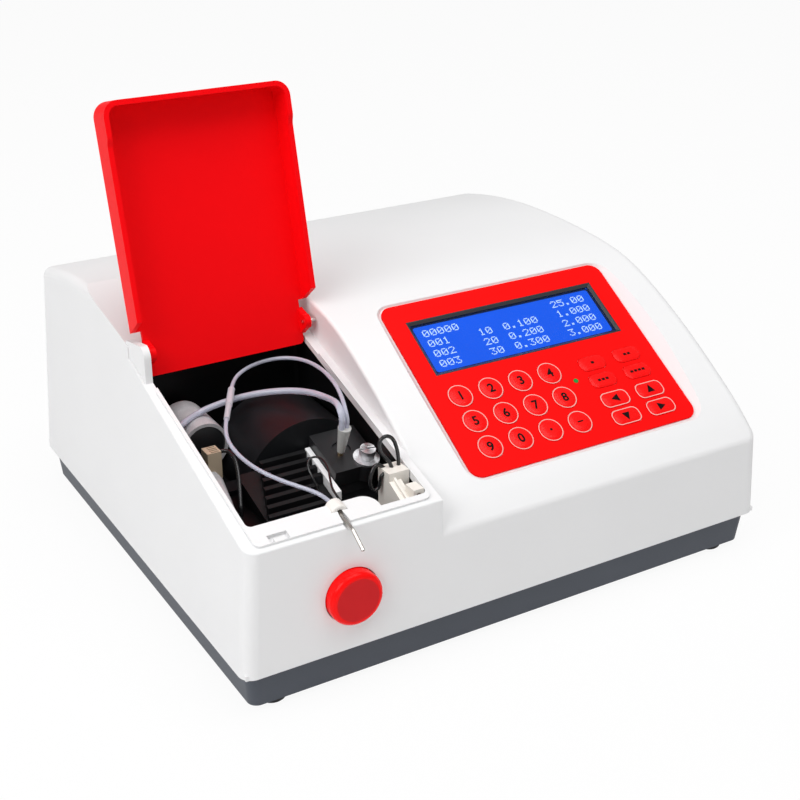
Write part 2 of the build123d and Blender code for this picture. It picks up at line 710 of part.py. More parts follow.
    # the display's window, the key stems' holes and the lamp's hole
    with BuildSketch(floor_plane.offset(MERGE)):
        with Locations((DISPLAY_X, DISPLAY_V)):
            Rectangle(DISPLAY_WIDTH + 2 * DISPLAY_GAP, DISPLAY_HEIGHT + 2 * DISPLAY_GAP)
        with Locations((LED_X, LED_V)):
            Circle(LED_R + DISPLAY_GAP)
        for column in range(4):
            for row in range(3):
                with Locations((KEY_FIRST_X + column * KEY_PITCH_X, KEY_FIRST_V - row * KEY_PITCH_V)):
                    Circle(KEY_STEM_R + KEY_STEM_CLEARANCE)
        for x in FUNCTION_X:
            for v in FUNCTION_V + ARROW_V:
                with Locations((x, v)):
                    Circle(KEY_STEM_R + KEY_STEM_CLEARANCE)
    extrude(amount=-POCKET_FLOOR - 2 * MERGE, mode=Mode.SUBTRACT)
    # pin holes in the lug and in the riser
    with BuildSketch(Plane.YZ.offset(pin_left)):
        with Locations((PIN_Y, PIN_Z)):
            Circle(PIN_R)
    extrude(amount=CASE_WIDTH / 2, mode=Mode.SUBTRACT)
    # screw pilot holes
    with BuildSketch(Plane.XY.offset(SPLIT_Z - MERGE)):
        with GridLocations(2 * SCREW_X, 2 * SCREW_Y, 2, 2):
            Circle(SCREW_R)
    extrude(amount=POST_HEIGHT - MERGE, mode=Mode.SUBTRACT)
    # rear openings for the mains inlet and the waste outlet
    with BuildSketch(rear_wall(INLET_X, INLET_Z)):
        RectangleRounded(INLET_WIDTH, INLET_HEIGHT, INLET_CORNER_R)
    with BuildSketch(rear_wall(OUTLET_X, OUTLET_Z)):
        Circle(OUTLET_SHANK_R)
    extrude(amount=-2 * WALL, mode=Mode.SUBTRACT)
top_cover.part.label = "top_cover"
export_step(top_cover.part, "parts/top_cover.step")

# ------------------------------------------------------------- the base tray
tray_width = CASE_WIDTH - 2 * TRAY_INSET
tray_depth = CASE_DEPTH - 2 * TRAY_INSET
tray_corner = CASE_CORNER_R - TRAY_INSET / 2
with BuildPart() as base_tray:
    with BuildSketch(Plane.XY.offset(FOOT_HEIGHT)):
        RectangleRounded(tray_width - 2 * TRAY_DRAFT, tray_depth - 2 * TRAY_DRAFT, tray_corner)
    with BuildSketch(Plane.XY.offset(SPLIT_Z)):
        RectangleRounded(tray_width, tray_depth, tray_corner)
    loft(ruled=True)
    with BuildSketch(Plane.XY.offset(FOOT_HEIGHT + TRAY_FLOOR)):
        RectangleRounded(
            tray_width - 2 * TRAY_DRAFT - 2 * TRAY_WALL,
            tray_depth - 2 * TRAY_DRAFT - 2 * TRAY_WALL,
            tray_corner - TRAY_WALL,
        )
    with BuildSketch(Plane.XY.offset(SPLIT_Z)):
        RectangleRounded(tray_width - 2 * TRAY_WALL, tray_depth - 2 * TRAY_WALL, tray_corner - TRAY_WALL)
    loft(ruled=True, mode=Mode.SUBTRACT)
    with BuildSketch(Plane.XY.offset(FOOT_HEIGHT)):
        with GridLocations(2 * SCREW_X, 2 * SCREW_Y, 2, 2):
            Circle(BOSS_R)
    extrude(amount=SPLIT_Z - FOOT_HEIGHT)
    with Locations(Plane((0, 0, FOOT_HEIGHT), z_dir=(0, 0, -1))):
        with GridLocations(2 * SCREW_X, 2 * SCREW_Y, 2, 2):
            CounterBoreHole(
                SCREW_R + SCREW_CLEARANCE,
                SCREW_HEAD_R + SCREW_CLEARANCE,
                SCREW_HEAD_HEIGHT + HEAD_RECESS,
                SPLIT_Z - FOOT_HEIGHT,
            )
base_tray.part.label = "base_tray"
export_step(base_tray.part, "parts/base_tray.step")

with BuildPart() as rubber_feet:
    with BuildSketch(Plane.XY):
        with GridLocations(2 * FOOT_X, 2 * FOOT_Y, 2, 2):
            Circle(FOOT_R)
    extrude(amount=FOOT_HEIGHT)
    chamfer(rubber_feet.faces().group_by(Axis.Z)[0].edges(), FOOT_CHAMFER)
rubber_feet.part.label = "rubber_feet"
export_step(rubber_feet.part, "parts/rubber_feet.step")

head_z = FOOT_HEIGHT + HEAD_RECESS
with BuildPart() as case_screws:
    with BuildSketch(Plane.XY.offset(head_z)):
        with GridLocations(2 * SCREW_X, 2 * SCREW_Y, 2, 2):
            Circle(SCREW_HEAD_R)
    extrude(amount=SCREW_HEAD_HEIGHT)
    with BuildSketch(Plane.XY.offset(head_z)):
        with GridLocations(2 * SCREW_X, 2 * SCREW_Y, 2, 2):
            Circle(SCREW_R)
    extrude(amount=SPLIT_Z + POST_HEIGHT - SCREW_SHORT - head_z)
    with BuildSketch(Plane.XY.offset(head_z)):
        with GridLocations(2 * SCREW_X, 2 * SCREW_Y, 2, 2):
            Rectangle(*CROSS_SLOT)
            Rectangle(*CROSS_SLOT, rotation=90)
    extrude(amount=CROSS_DEPTH, mode=Mode.SUBTRACT)
case_screws.part.label = "case_screws"
export_step(case_screws.part, "parts/case_screws.step")

# ------------------------------------------------------------------- the lid
inner_w = -LID_PIN_OFFSET
outer_w = inner_w - LID_THICKNESS
edge_w = inner_w + LID_FLANGE
lid_middle = (LID_LEFT + LID_RIGHT) / 2
lid_width = LID_RIGHT - LID_LEFT
tail_left = BAY_LEFT + LID_TAIL_MARGIN
tail_right = BAY_RIGHT - LID_TAIL_MARGIN
lug_right = lug_left + LUG_THICKNESS
ear_left = lug_right + EAR_GAP
ear_right = LID_RIGHT - LID_WALL - EAR_GAP
relief_w = edge_w - LID_FLANGE_RELIEF
lid_side = Plane(
    origin=(LID_LEFT - MERGE, PIN_Y, PIN_Z),
    x_dir=(0, cos(LID_OPEN_ANGLE), sin(LID_OPEN_ANGLE)),
    z_dir=(1, 0, 0),
)
with BuildPart() as lid:
    with BuildSketch(lid_plane(outer_w)) as lid_outline:
        with Locations((lid_middle, (LID_FLANGE_START + LID_LENGTH) / 2)):
            Rectangle(lid_width, LID_LENGTH - LID_FLANGE_START)
        fillet(lid_outline.sketch_local.vertices().group_by(Axis.Y)[-1], LID_CORNER_R)
    extrude(amount=LID_THICKNESS + LID_FLANGE)
    backward = Axis((0, PIN_Y, PIN_Z), (0, sin(LID_OPEN_ANGLE), -cos(LID_OPEN_ANGLE)))
    back_edges = lid.faces().sort_by(backward)[-1].edges()
    fillet(back_edges.filter_by(lambda edge: edge.center().Z > PIN_Z + 2 * LID_FLANGE_START), LID_EDGE_R)
    with BuildSketch(lid_plane(inner_w)) as lid_hollow:
        with Locations((lid_middle, (LID_LENGTH - LID_WALL) / 2)):
            Rectangle(lid_width - 2 * LID_WALL, LID_LENGTH - LID_WALL)
        fillet(lid_hollow.sketch_local.vertices().group_by(Axis.Y)[-1], LID_CORNER_R - LID_WALL)
    extrude(amount=LID_FLANGE + MERGE, mode=Mode.SUBTRACT)
    # chamfered hinge ends and the shallower run of the side flanges
    with BuildSketch(lid_side):
        with BuildLine():
            step = Spline(
                (LID_RELIEF_END - LID_STEP, relief_w),
                (LID_RELIEF_END, edge_w),
                tangents=((1, 0), (1, 0)),
            )
            Polyline(
                (LID_RELIEF_END, edge_w),
                (LID_RELIEF_END, edge_w + MERGE),
                (LID_FLANGE_START - MERGE, edge_w + MERGE),
                (LID_FLANGE_START - MERGE, inner_w),
                (LID_FLANGE_START, inner_w),
                (LID_FLANGE_START + LID_FLANGE_CHAMFER, relief_w),
                (LID_RELIEF_END - LID_STEP, relief_w),
            )
        make_face()
    extrude(amount=lid_width + 2 * MERGE, mode=Mode.SUBTRACT)
    # the tail that runs on past the pin
    with BuildSketch(lid_plane(outer_w)) as lid_tail:
        with Locations(((tail_left + tail_right) / 2, (LID_FLANGE_START + MERGE - LID_TAIL) / 2)):
            Rectangle(tail_right - tail_left, LID_FLANGE_START + MERGE + LID_TAIL)
        fillet(lid_tail.sketch_local.vertices().group_by(Axis.Y)[0], BAY_CORNER_R)
    extrude(amount=LID_THICKNESS)
    # ears on the pins
    for ear_x in (ear_left, ear_right - EAR_THICKNESS):
        with BuildSketch(Plane(origin=(ear_x, PIN_Y, PIN_Z), x_dir=lid_side.x_dir, z_dir=(1, 0, 0))):
            Circle(EAR_R)
            with BuildLine():
                Polyline(
                    (-EAR_R, 0),
                    (-EAR_FOOT, inner_w - LID_THICKNESS / 2),
                    (EAR_FOOT, inner_w - LID_THICKNESS / 2),
                    (EAR_R, 0),
                    close=True,
                )
            make_face()
        extrude(amount=EAR_THICKNESS)
        with BuildSketch(Plane(origin=(ear_x - MERGE, PIN_Y, PIN_Z), x_dir=lid_side.x_dir, z_dir=(1, 0, 0))):
            Circle(PIN_R + PIN_CLEARANCE)
        extrude(amount=EAR_THICKNESS + 2 * MERGE, mode=Mode.SUBTRACT)
lid.part.label = "lid"
export_step(lid.part, "parts/lid.step")

right_pin_end = ear_right - EAR_THICKNESS - PIN_STANDS
with BuildPart() as hinge_pins:
    with BuildSketch(Plane.YZ.offset(pin_left)):
        with Locations((PIN_Y, PIN_Z)):
            Circle(PIN_R)
    extrude(amount=ear_left + EAR_THICKNESS + PIN_STANDS - pin_left)
    with BuildSketch(Plane.YZ.offset(right_pin_end)):
        with Locations((PIN_Y, PIN_Z)):
            Circle(PIN_R)
    extrude(amount=RISER_X + WALL - MERGE / 2 - right_pin_end)
hinge_pins.part.label = "hinge_pins"
export_step(hinge_pins.part, "parts/hinge_pins.step")

# ----------------------------------------------------------------- the liner
liner_middle = ((LINER_LEFT + LINER_RIGHT) / 2, (LINER_FRONT_Y + LINER_REAR_Y) / 2)
liner_size = (LINER_RIGHT - LINER_LEFT, LINER_REAR_Y - LINER_FRONT_Y)
with BuildPart() as bay_liner:
    with BuildSketch(Plane.XY.offset(LINER_FLOOR_Z - LINER_WALL)):
        with Locations(liner_middle):
            RectangleRounded(*liner_size, BAY_CORNER_R + LINER_WALL)
    extrude(amount=CASE_TOP_Z - LINER_FLOOR_Z)
    with BuildSketch(Plane.XY.offset(LINER_FLOOR_Z)):
        with Locations(liner_middle):
            RectangleRounded(liner_size[0] - 2 * LINER_WALL, liner_size[1] - 2 * LINER_WALL, BAY_CORNER_R)
    extrude(amount=CASE_TOP_Z, mode=Mode.SUBTRACT)
    # its top edge follows the underside of the rim
    liner_end = LINER_REAR_Y + MERGE
    with BuildSketch(Plane.YZ.offset(LINER_LEFT - MERGE)):
        with BuildLine():
            Polyline(
                (FRONT_Y, rim_z(FRONT_Y) - TOP_DROP),
                (liner_end, rim_z(liner_end) - TOP_DROP),
                (liner_end, SKY_Z),
                (FRONT_Y, SKY_Z),
                close=True,
            )
        make_face()
    extrude(amount=liner_size[0] + 2 * MERGE, mode=Mode.SUBTRACT)
    # clearance round the drum and its motor
    with BuildSketch(Plane.XZ.offset(-DRUM_FRONT_Y + DRUM_GAP)):
        with Locations((DRUM_X, DRUM_Z)):
            Circle(DRUM_R + DRUM_GAP)
    extrude(amount=-(DRUM_REAR_Y - DRUM_FRONT_Y + 2 * DRUM_GAP), mode=Mode.SUBTRACT)
    with BuildSketch(Plane.XZ.offset(-DRUM_REAR_Y)):
        with Locations((DRUM_X, DRUM_Z)):
            Circle(WHEEL_MOTOR_R + DRUM_GAP)
    extrude(amount=-(WHEEL_MOTOR_LENGTH + DRUM_GAP), mode=Mode.SUBTRACT)
bay_liner.part.label = "bay_liner"
export_step(bay_liner.part, "parts/bay_liner.step")

# ------------------------------------------------- needle guide and needle
guide_length = LEDGE_Y + BOSS_STANDS - GUIDE_HOLE_Y
with BuildPart() as needle_guide:
    with BuildSketch(needle_plane(GUIDE_HOLE_Y)):
        Circle(BOSS_OUTER_R)
    extrude(amount=guide_length)
    fillet(needle_guide.edges().filter_by(GeomType.CIRCLE), BOSS_ROUND)
    with BuildSketch(needle_plane(GUIDE_HOLE_Y)):
        Circle(NEEDLE_R)
    extrude(amount=guide_length, mode=Mode.SUBTRACT)
    with BuildSketch(needle_plane(GUIDE_HOLE_Y)):
        Circle(BOSS_MOUTH_R)
    extrude(amount=BOSS_MOUTH_DEPTH, mode=Mode.SUBTRACT)
needle_guide.part.label = "needle_guide"
export_step(needle_guide.part, "parts/needle_guide.step")

needle_back = needle_axis(NEEDLE_REAR_Y)
needle_corner = needle_axis(NEEDLE_BEND_Y)
needle_tip = needle_corner + Vector(0, -cos(NEEDLE_BEND), -sin(NEEDLE_BEND)) * NEEDLE_TIP
with BuildPart() as sipper_needle:
    with BuildLine():
        needle_line = FilletPolyline(needle_back, needle_corner, needle_tip, radius=NEEDLE_BEND_R)
    with BuildSketch(Plane(origin=needle_line @ 0, z_dir=needle_line % 0)):
        Circle(NEEDLE_R)
        Circle(NEEDLE_BORE_R, mode=Mode.SUBTRACT)
    sweep()
sipper_needle.part.label = "sipper_needle"
export_step(sipper_needle.part, "parts/sipper_needle.step")
needle_reach = -sipper_needle.part.bounding_box().min.Y

# ------------------------------------------------------- filter drum, wheel
def axle_plane(x, y, z):
    """A plane across a front-to-rear axle, facing the rear."""
    return Plane(origin=(x, y, z), x_dir=(-1, 0, 0), z_dir=(0, 1, 0))


with BuildPart() as filter_drum:
    with BuildSketch(axle_plane(DRUM_X, DRUM_FRONT_Y, DRUM_Z)):
        Circle(DRUM_R)
    extrude(amount=DRUM_REAR_Y - DRUM_FRONT_Y)
    # the foot that rests on the liner's floor
    with BuildSketch(Plane.XY.offset(LINER_FLOOR_Z)):
        with Locations((DRUM_X - DRUM_R - DRUM_FOOT[0] / 4, DRUM_FRONT_Y + 2 * DRUM_FOOT[1] / 3)):
            Rectangle(*DRUM_FOOT)
    extrude(amount=DRUM_FOOT_HEIGHT)
    with BuildSketch(axle_plane(DRUM_X, DRUM_FRONT_Y + DRUM_WALL, DRUM_Z)):
        Circle(DRUM_R - DRUM_WALL)
    extrude(amount=DRUM_REAR_Y - DRUM_FRONT_Y - 2 * DRUM_WALL, mode=Mode.SUBTRACT)
    with BuildSketch(axle_plane(DRUM_X, DRUM_REAR_Y - DRUM_WALL - MERGE, DRUM_Z)):
        Circle(WHEEL_SHAFT_R + SHAFT_CLEARANCE)
    extrude(amount=DRUM_WALL + 2 * MERGE, mode=Mode.SUBTRACT)
filter_drum.part.label = "filter_drum"
export_step(filter_drum.part, "parts/filter_drum.step")

wheel_y = DRUM_FRONT_Y + DRUM_WALL + WHEEL_GAP
with BuildPart() as filter_wheel:
    with BuildSketch(axle_plane(DRUM_X, wheel_y, DRUM_Z)):
        Circle(WHEEL_R)
        with PolarLocations(WHEEL_PCD / 2, WHEEL_HOLES):
            Circle(WHEEL_HOLE_R, mode=Mode.SUBTRACT)
    extrude(amount=WHEEL_THICKNESS)
    with BuildSketch(axle_plane(DRUM_X, wheel_y, DRUM_Z)):
        Circle(WHEEL_SHAFT_R)
    extrude(amount=DRUM_REAR_Y + WHEEL_SHAFT_STANDS - wheel_y)
filter_wheel.part.label = "filter_wheel"
export_step(filter_wheel.part, "parts/filter_wheel.step")

with BuildPart() as wheel_motor:
    with BuildSketch(axle_plane(DRUM_X, DRUM_REAR_Y, DRUM_Z)):
        Circle(WHEEL_MOTOR_R)
    extrude(amount=WHEEL_MOTOR_LENGTH)
    with BuildSketch(axle_plane(DRUM_X, DRUM_REAR_Y, DRUM_Z)):
        Circle(WHEEL_SHAFT_R + SHAFT_CLEARANCE)
    extrude(amount=WHEEL_SHAFT_STANDS + 2 * MERGE, mode=Mode.SUBTRACT)
wheel_motor.part.label = "wheel_motor"
export_step(wheel_motor.part, "parts/wheel_motor.step")

# --------------------------------------------------------------- the pump
rotor_y = PUMP_FRONT_Y + ROTOR_GAP
with BuildPart() as pump_body:
    with BuildSketch(axle_plane(PUMP_X, PUMP_FRONT_Y, PUMP_Z)):
        Circle(PUMP_R)
    extrude(amount=PUMP_REAR_Y - PUMP_FRONT_Y)
    fillet(pump_body.edges().filter_by(GeomType.CIRCLE).sort_by(Axis.Y)[-1], PUMP_ROUND)
    with BuildSketch(Plane.XY.offset(LINER_FLOOR_Z)):
        with Locations((PUMP_X, (PUMP_FRONT_Y + PUMP_REAR_Y) / 2)):
            Rectangle(PUMP_R, PUMP_REAR_Y - PUMP_FRONT_Y - 2 * ROTOR_GAP)
    extrude(amount=PUMP_Z - PUMP_R / 2 - LINER_FLOOR_Z)
    with BuildSketch(axle_plane(PUMP_X, PUMP_FRONT_Y, PUMP_Z)):
        Circle(PUMP_R - PUMP_WALL)
    extrude(amount=ROTOR_THICKNESS + 2 * ROTOR_GAP, mode=Mode.SUBTRACT)
    with BuildSketch(axle_plane(PUMP_X, PUMP_FRONT_Y, PUMP_Z)):
        Circle(ROTOR_SHAFT_R + SHAFT_CLEARANCE)
    extrude(amount=ROTOR_THICKNESS + 2 * ROTOR_GAP + ROTOR_SHAFT, mode=Mode.SUBTRACT)
pump_body.part.label = "pump_body"
export_step(pump_body.part, "parts/pump_body.step")

with BuildPart() as pump_rotor:
    with BuildSketch(axle_plane(PUMP_X, rotor_y, PUMP_Z)):
        with PolarLocations(ROTOR_R - ROLLER_R, ROLLERS):
            Circle(ROLLER_R)
        Circle(ROTOR_R - ROLLER_R - MERGE)
    extrude(amount=ROTOR_THICKNESS)
    with BuildSketch(axle_plane(PUMP_X, rotor_y, PUMP_Z)):
        Circle(ROTOR_SHAFT_R)
    extrude(amount=ROTOR_THICKNESS + ROTOR_SHAFT)
pump_rotor.part.label = "pump_rotor"
export_step(pump_rotor.part, "parts/pump_rotor.step")

# ------------------------------------------------- flow cell and its block
block_left = BLOCK_X - BLOCK_WIDTH / 2
block_front_y = BLOCK_REAR_Y - BLOCK_LENGTH * cos(RIM_ANGLE)
with BuildPart() as flow_cell_block:
    with BuildSketch(block_plane()):
        with Locations((BLOCK_X, -BLOCK_LENGTH / 2)):
            Rectangle(BLOCK_WIDTH, BLOCK_LENGTH)
        with Locations((BLOCK_LUG_X, BLOCK_LUG_S)):
            Circle(BLOCK_LUG_R)
    extrude(amount=-BLOCK_THICKNESS)
    with BuildSketch(Plane.YZ.offset(block_left + POST_INSET / 2)):
        with BuildLine():
            Polyline(
                (BLOCK_REAR_Y - POST_INSET, LINER_FLOOR_Z),
                (BLOCK_REAR_Y - POST_INSET, BLOCK_REAR_Z - BLOCK_THICKNESS / 2),
                (block_front_y + POST_INSET, BLOCK_REAR_Z - BLOCK_LENGTH * sin(RIM_ANGLE) - WALL),
                (block_front_y + POST_INSET, LINER_FLOOR_Z),
                close=True,
            )
        make_face()
    extrude(amount=BLOCK_WIDTH - POST_INSET)
    # its rear face stands upright
    with BuildSketch(Plane.XZ.offset(-BLOCK_REAR_Y)):
        with Locations((BLOCK_X, BLOCK_REAR_Z)):
            Rectangle(2 * BLOCK_WIDTH, 4 * BLOCK_THICKNESS)
    extrude(amount=-BLOCK_THICKNESS, mode=Mode.SUBTRACT)
    with BuildSketch(block_plane()):
        with Locations((CELL_X + RECESS_SHIFT[0], CELL_S + RECESS_SHIFT[1])):
            Circle(RECESS_R)
    extrude(amount=-RECESS_DEPTH, mode=Mode.SUBTRACT)
    with BuildSketch(block_plane()):
        with Locations((CELL_X, CELL_S)):
            Circle(CELL_R)
        with Locations((BLOCK_LUG_X, BLOCK_LUG_S)):
            Circle(SCREW_SHANK_R)
    extrude(amount=-BLOCK_THICKNESS + BORE_FLOOR, mode=Mode.SUBTRACT)
flow_cell_block.part.label = "flow_cell_block"
export_step(flow_cell_block.part, "parts/flow_cell_block.step")

with BuildPart() as flow_cell:
    with BuildSketch(block_plane(-BLOCK_THICKNESS + BORE_FLOOR)):
        with Locations((CELL_X, CELL_S)):
            Circle(CELL_R)
    extrude(amount=BLOCK_THICKNESS - BORE_FLOOR + CELL_STANDS)
flow_cell.part.label = "flow_cell"
export_step(flow_cell.part, "parts/flow_cell.step")

with BuildPart() as cell_sleeve:
    with BuildSketch(block_plane(SLEEVE_START)):
        with Locations((CELL_X, CELL_S)):
            Circle(SLEEVE_R)
    with BuildSketch(block_plane(SLEEVE_START + SLEEVE_LENGTH)):
        with Locations((CELL_X, CELL_S)):
            Circle(SLEEVE_TOP_R)
    loft()
    with BuildSketch(block_plane(SLEEVE_START)):
        with Locations((CELL_X, CELL_S)):
            Circle(CELL_R)
    extrude(amount=CELL_STANDS - SLEEVE_START, mode=Mode.SUBTRACT)
cell_sleeve.part.label = "cell_sleeve"
export_step(cell_sleeve.part, "parts/cell_sleeve.step")

with BuildPart() as clamp_screw:
    with BuildSketch(block_plane()):
        with Locations((BLOCK_LUG_X, BLOCK_LUG_S)):
            Circle(CLAMP_WASHER_R)
    extrude(amount=CLAMP_WASHER_HEIGHT)
    with BuildSketch(block_plane(CLAMP_WASHER_HEIGHT)):
        with Locations((BLOCK_LUG_X, BLOCK_LUG_S)):
            Circle(SCREW_CAP_R)
    extrude(amount=SCREW_CAP_HEIGHT)
    with BuildSketch(block_plane(CLAMP_WASHER_HEIGHT + SCREW_CAP_HEIGHT)):
        with Locations((BLOCK_LUG_X, BLOCK_LUG_S)):
            Rectangle(2 * SCREW_CAP_R + MERGE, SCREW_SLOT[0], rotation=SCREW_SLOT_TURN)
    extrude(amount=-SCREW_SLOT[1], mode=Mode.SUBTRACT)
    with BuildSketch(block_plane(-BLOCK_THICKNESS + BORE_FLOOR + SHANK_GAP)):
        with Locations((BLOCK_LUG_X, BLOCK_LUG_S)):
            Circle(SCREW_SHANK_R)
    extrude(amount=BLOCK_THICKNESS - BORE_FLOOR - SHANK_GAP + CLAMP_WASHER_HEIGHT / 2)
clamp_screw.part.label = "clamp_screw"
export_step(clamp_screw.part, "parts/clamp_screw.step")

# ------------------------------------------------------------ the heat sink
sink_fall = tan(RIM_ANGLE)
rib_root_z = SINK_TOP_Z - SINK_RIB_HEIGHT
with BuildPart() as heat_sink:
    with BuildSketch(Plane.YZ.offset(SINK_LEFT)):
        with BuildLine():
            Polyline(
                (SINK_REAR_Y, LINER_FLOOR_Z),
                (SINK_REAR_Y, rib_root_z),
                (SINK_FRONT_Y, rib_root_z + sink_fall * (SINK_FRONT_Y - SINK_REAR_Y)),
                (SINK_FRONT_Y, LINER_FLOOR_Z),
                close=True,
            )
        make_face()
    extrude(amount=SINK_RIGHT - SINK_LEFT)
    for rib in range(SINK_RIBS):
        rear = SINK_REAR_Y - rib * SINK_PITCH
        front = rear - SINK_RIB
        rib_left = SINK_LEFT + SINK_STEP_X * (1 - rib / (SINK_RIBS - 1))
        with BuildSketch(Plane.YZ.offset(rib_left)):
            with BuildLine():
                Polyline(
                    (rear, rib_root_z + sink_fall * (rear - SINK_REAR_Y) - MERGE),
                    (rear, SINK_TOP_Z + sink_fall * (rear - SINK_REAR_Y)),
                    (front, SINK_TOP_Z + sink_fall * (front - SINK_REAR_Y)),
                    (front, rib_root_z + sink_fall * (front - SINK_REAR_Y) - MERGE),
                    close=True,
                )
            make_face()
        extrude(amount=SINK_RIGHT - rib_left - (0 if rib < SINK_LONG_RIBS else SINK_RIB_SHORT))
heat_sink.part.label = "heat_sink"
export_step(heat_sink.part, "parts/heat_sink.step")

# ------------------------------------------------ small pieces of the bay
connector_x, connector_y, connector_z = CONNECTOR_PLACE
connector_w, connector_d, connector_h = CONNECTOR_SIZE
with BuildPart() as wire_connector:
    with BuildSketch(Plane.XY.offset(connector_z)):
        with Locations((connector_x, connector_y)):
            Rectangle(connector_w, connector_d)
    extrude(amount=connector_h)
    with BuildSketch(Plane.XY.offset(connector_z + connector_h)):
        with Locations((connector_x + CONNECTOR_SLOT[2], connector_y)):
            with GridLocations(0, CONNECTOR_PITCH, 1, CONNECTOR_SLOTS):
                Rectangle(CONNECTOR_SLOT[0], CONNECTOR_SLOT[1])
    extrude(amount=-CONNECTOR_SLOT[3], mode=Mode.SUBTRACT)
wire_connector.part.label = "wire_connector"
export_step(wire_connector.part, "parts/wire_connector.step")

lamp_start = Vector(connector_x - LAMP_SHIFT, connector_y - connector_d / 2, connector_z + LAMP_START_RISE)
with BuildPart() as lamp_tube:
    with BuildLine():
        lamp_line = FilletPolyline(
            lamp_start,
            lamp_start + (0, -LAMP_START_RUN, 0),
            (LAMP_END_X, LAMP_END_Y + LAMP_END_RUN, LINER_FLOOR_Z + LAMP_ELBOW),
            (LAMP_END_X, LAMP_END_Y, LINER_FLOOR_Z),
            radius=LAMP_BENDS,
        )
    with BuildSketch(Plane(origin=lamp_line @ 0, z_dir=lamp_line % 0)):
        Circle(LAMP_R)
    sweep()
    with BuildSketch(Plane.XY.offset(LINER_FLOOR_Z)):
        with Locations((LAMP_END_X, LAMP_END_Y)):
            Rectangle(10 * LAMP_R, 10 * LAMP_R)
    extrude(amount=-LAMP_ELBOW, mode=Mode.SUBTRACT)
lamp_tube.part.label = "lamp_tube"
export_step(lamp_tube.part, "parts/lamp_tube.step")

strip_x = (SINK_RIGHT + block_left) / 2
with BuildPart() as probe_strip:
    with BuildSketch(Plane.YZ.offset(strip_x - STRIP_WIDTH / 2)):
        with BuildLine():
            Polyline(
                (SINK_REAR_Y, LINER_FLOOR_Z),
                (SINK_REAR_Y, LINER_FLOOR_Z + STRIP_HEIGHT),
                (SINK_REAR_Y - STRIP_LENGTH, LINER_FLOOR_Z + STRIP_HEIGHT - STRIP_LENGTH * sink_fall),
                (SINK_REAR_Y - STRIP_LENGTH, LINER_FLOOR_Z),
                close=True,
            )
        make_face()
    extrude(amount=STRIP_WIDTH)
probe_strip.part.label = "probe_strip"
export_step(probe_strip.part, "parts/probe_strip.step")

# ----------------------------------------------------------- tubes and wires
sleeve_top = block_plane(SLEEVE_START + SLEEVE_LENGTH)
thin_start = sleeve_top.from_local_coords(Vector(CELL_X + THIN_TUBE_SHIFT, CELL_S, 0))
waste_start = sleeve_top.from_local_coords(Vector(CELL_X - WASTE_TUBE_R, CELL_S, 0))
UNION_REAR = Vector(-121.5, -30.8, 130.5)
UNION_FRONT = Vector(-136.3, -55.9, 125.0)
union_way = (UNION_FRONT - UNION_REAR).normalized()

SAMPLE_REAR_ROUTE = [
    thin_start,
    (-82.6, -101.85, 128.8),
    (-82.8, -101.4, 132.4),
    (-82.4, -99.0, 135.4),
    (-81.2, -95.0, 137.2),
    (-79.0, -88.6, 138.2),
    (-75.6, -78.0, 138.6),
    (-72.0, -63.6, 138.4),
    (-69.8, -47.4, 138.0),
    (-70.8, -31.6, 137.6),
    (-76.4, -20.0, 137.0),
    (-85.4, -13.8, 136.0),
    (-96.4, -12.4, 134.8),
    (-107.2, -15.8, 133.7),
    UNION_REAR - union_way * UNION_LEAD,
    UNION_REAR,
]
SAMPLE_FRONT_ROUTE = [
    UNION_FRONT,
    UNION_FRONT + union_way * UNION_TAIL,
    (-143.4, -71.6, 121.0),
    (-144.0, -81.0, 118.6),
    (-142.6, -91.8, 116.2),
    (-139.0, -103.3, 114.0),
    (-132.8, -115.0, 112.0),
    (-125.6, -123.6, 110.0),
    (-119.4, -130.4, 108.2),
    needle_axis(NEEDLE_REAR_Y + NEEDLE_LEAD),
    needle_back,
]
WASTE_ROUTE = [
    waste_start,
    (-86.0, -102.0, 129.3),
    (-86.0, -101.6, 133.2),
    (-85.8, -99.2, 136.2),
    (-85.2, -95.6, 137.6),
    (-84.4, -90.6, 137.4),
    (-83.2, -83.6, 135.8),
    (-82.6, -75.0, 133.9),
    (-84.2, -63.6, 132.4),
    (-90.2, -52.0, 130.8),
    (-100.2, -42.2, 128.8),
    (-112.6, -35.0, 126.4),
    (-126.4, -31.2, 123.8),
    (-140.4, -31.6, 121.8),
    (-152.6, -36.2, 120.4),
    (-161.2, -42.4, 119.4),
    (LINER_LEFT + LINER_WALL, -42.4, 119.4),
]
CONNECTOR_ROUTE = [
    (connector_x + connector_w / 2, -62.6, 109.6),
    (-142.4, -62.6, 109.6),
    (-139.8, -66.0, 109.6),
    (-139.4, -72.8, 107.4),
    (-141.6, -81.0, 102.4),
    (-144.6, -88.6, 96.8),
    (-147.0, -94.2, 91.6),
    (-148.0, -96.6, 89.2),
    (-148.0, -96.6, LINER_FLOOR_Z),
]
PROBE_ROUTE = [
    (-109.4, LEDGE_Y, 104.8),
    (-110.2, -135.6, 106.8),
    (-106.0, -123.6, 108.6),
    (-101.8, -114.4, 109.8),
    (-100.0, -105.4, 111.0),
    (-101.6, -99.4, 111.4),
    (-106.4, -98.6, 110.6),
    (-109.4, -103.0, 108.0),
    (-108.8, -108.6, 103.4),
    (-107.6, -111.0, 98.4),
    (-107.5, -111.3, 94.9),
]
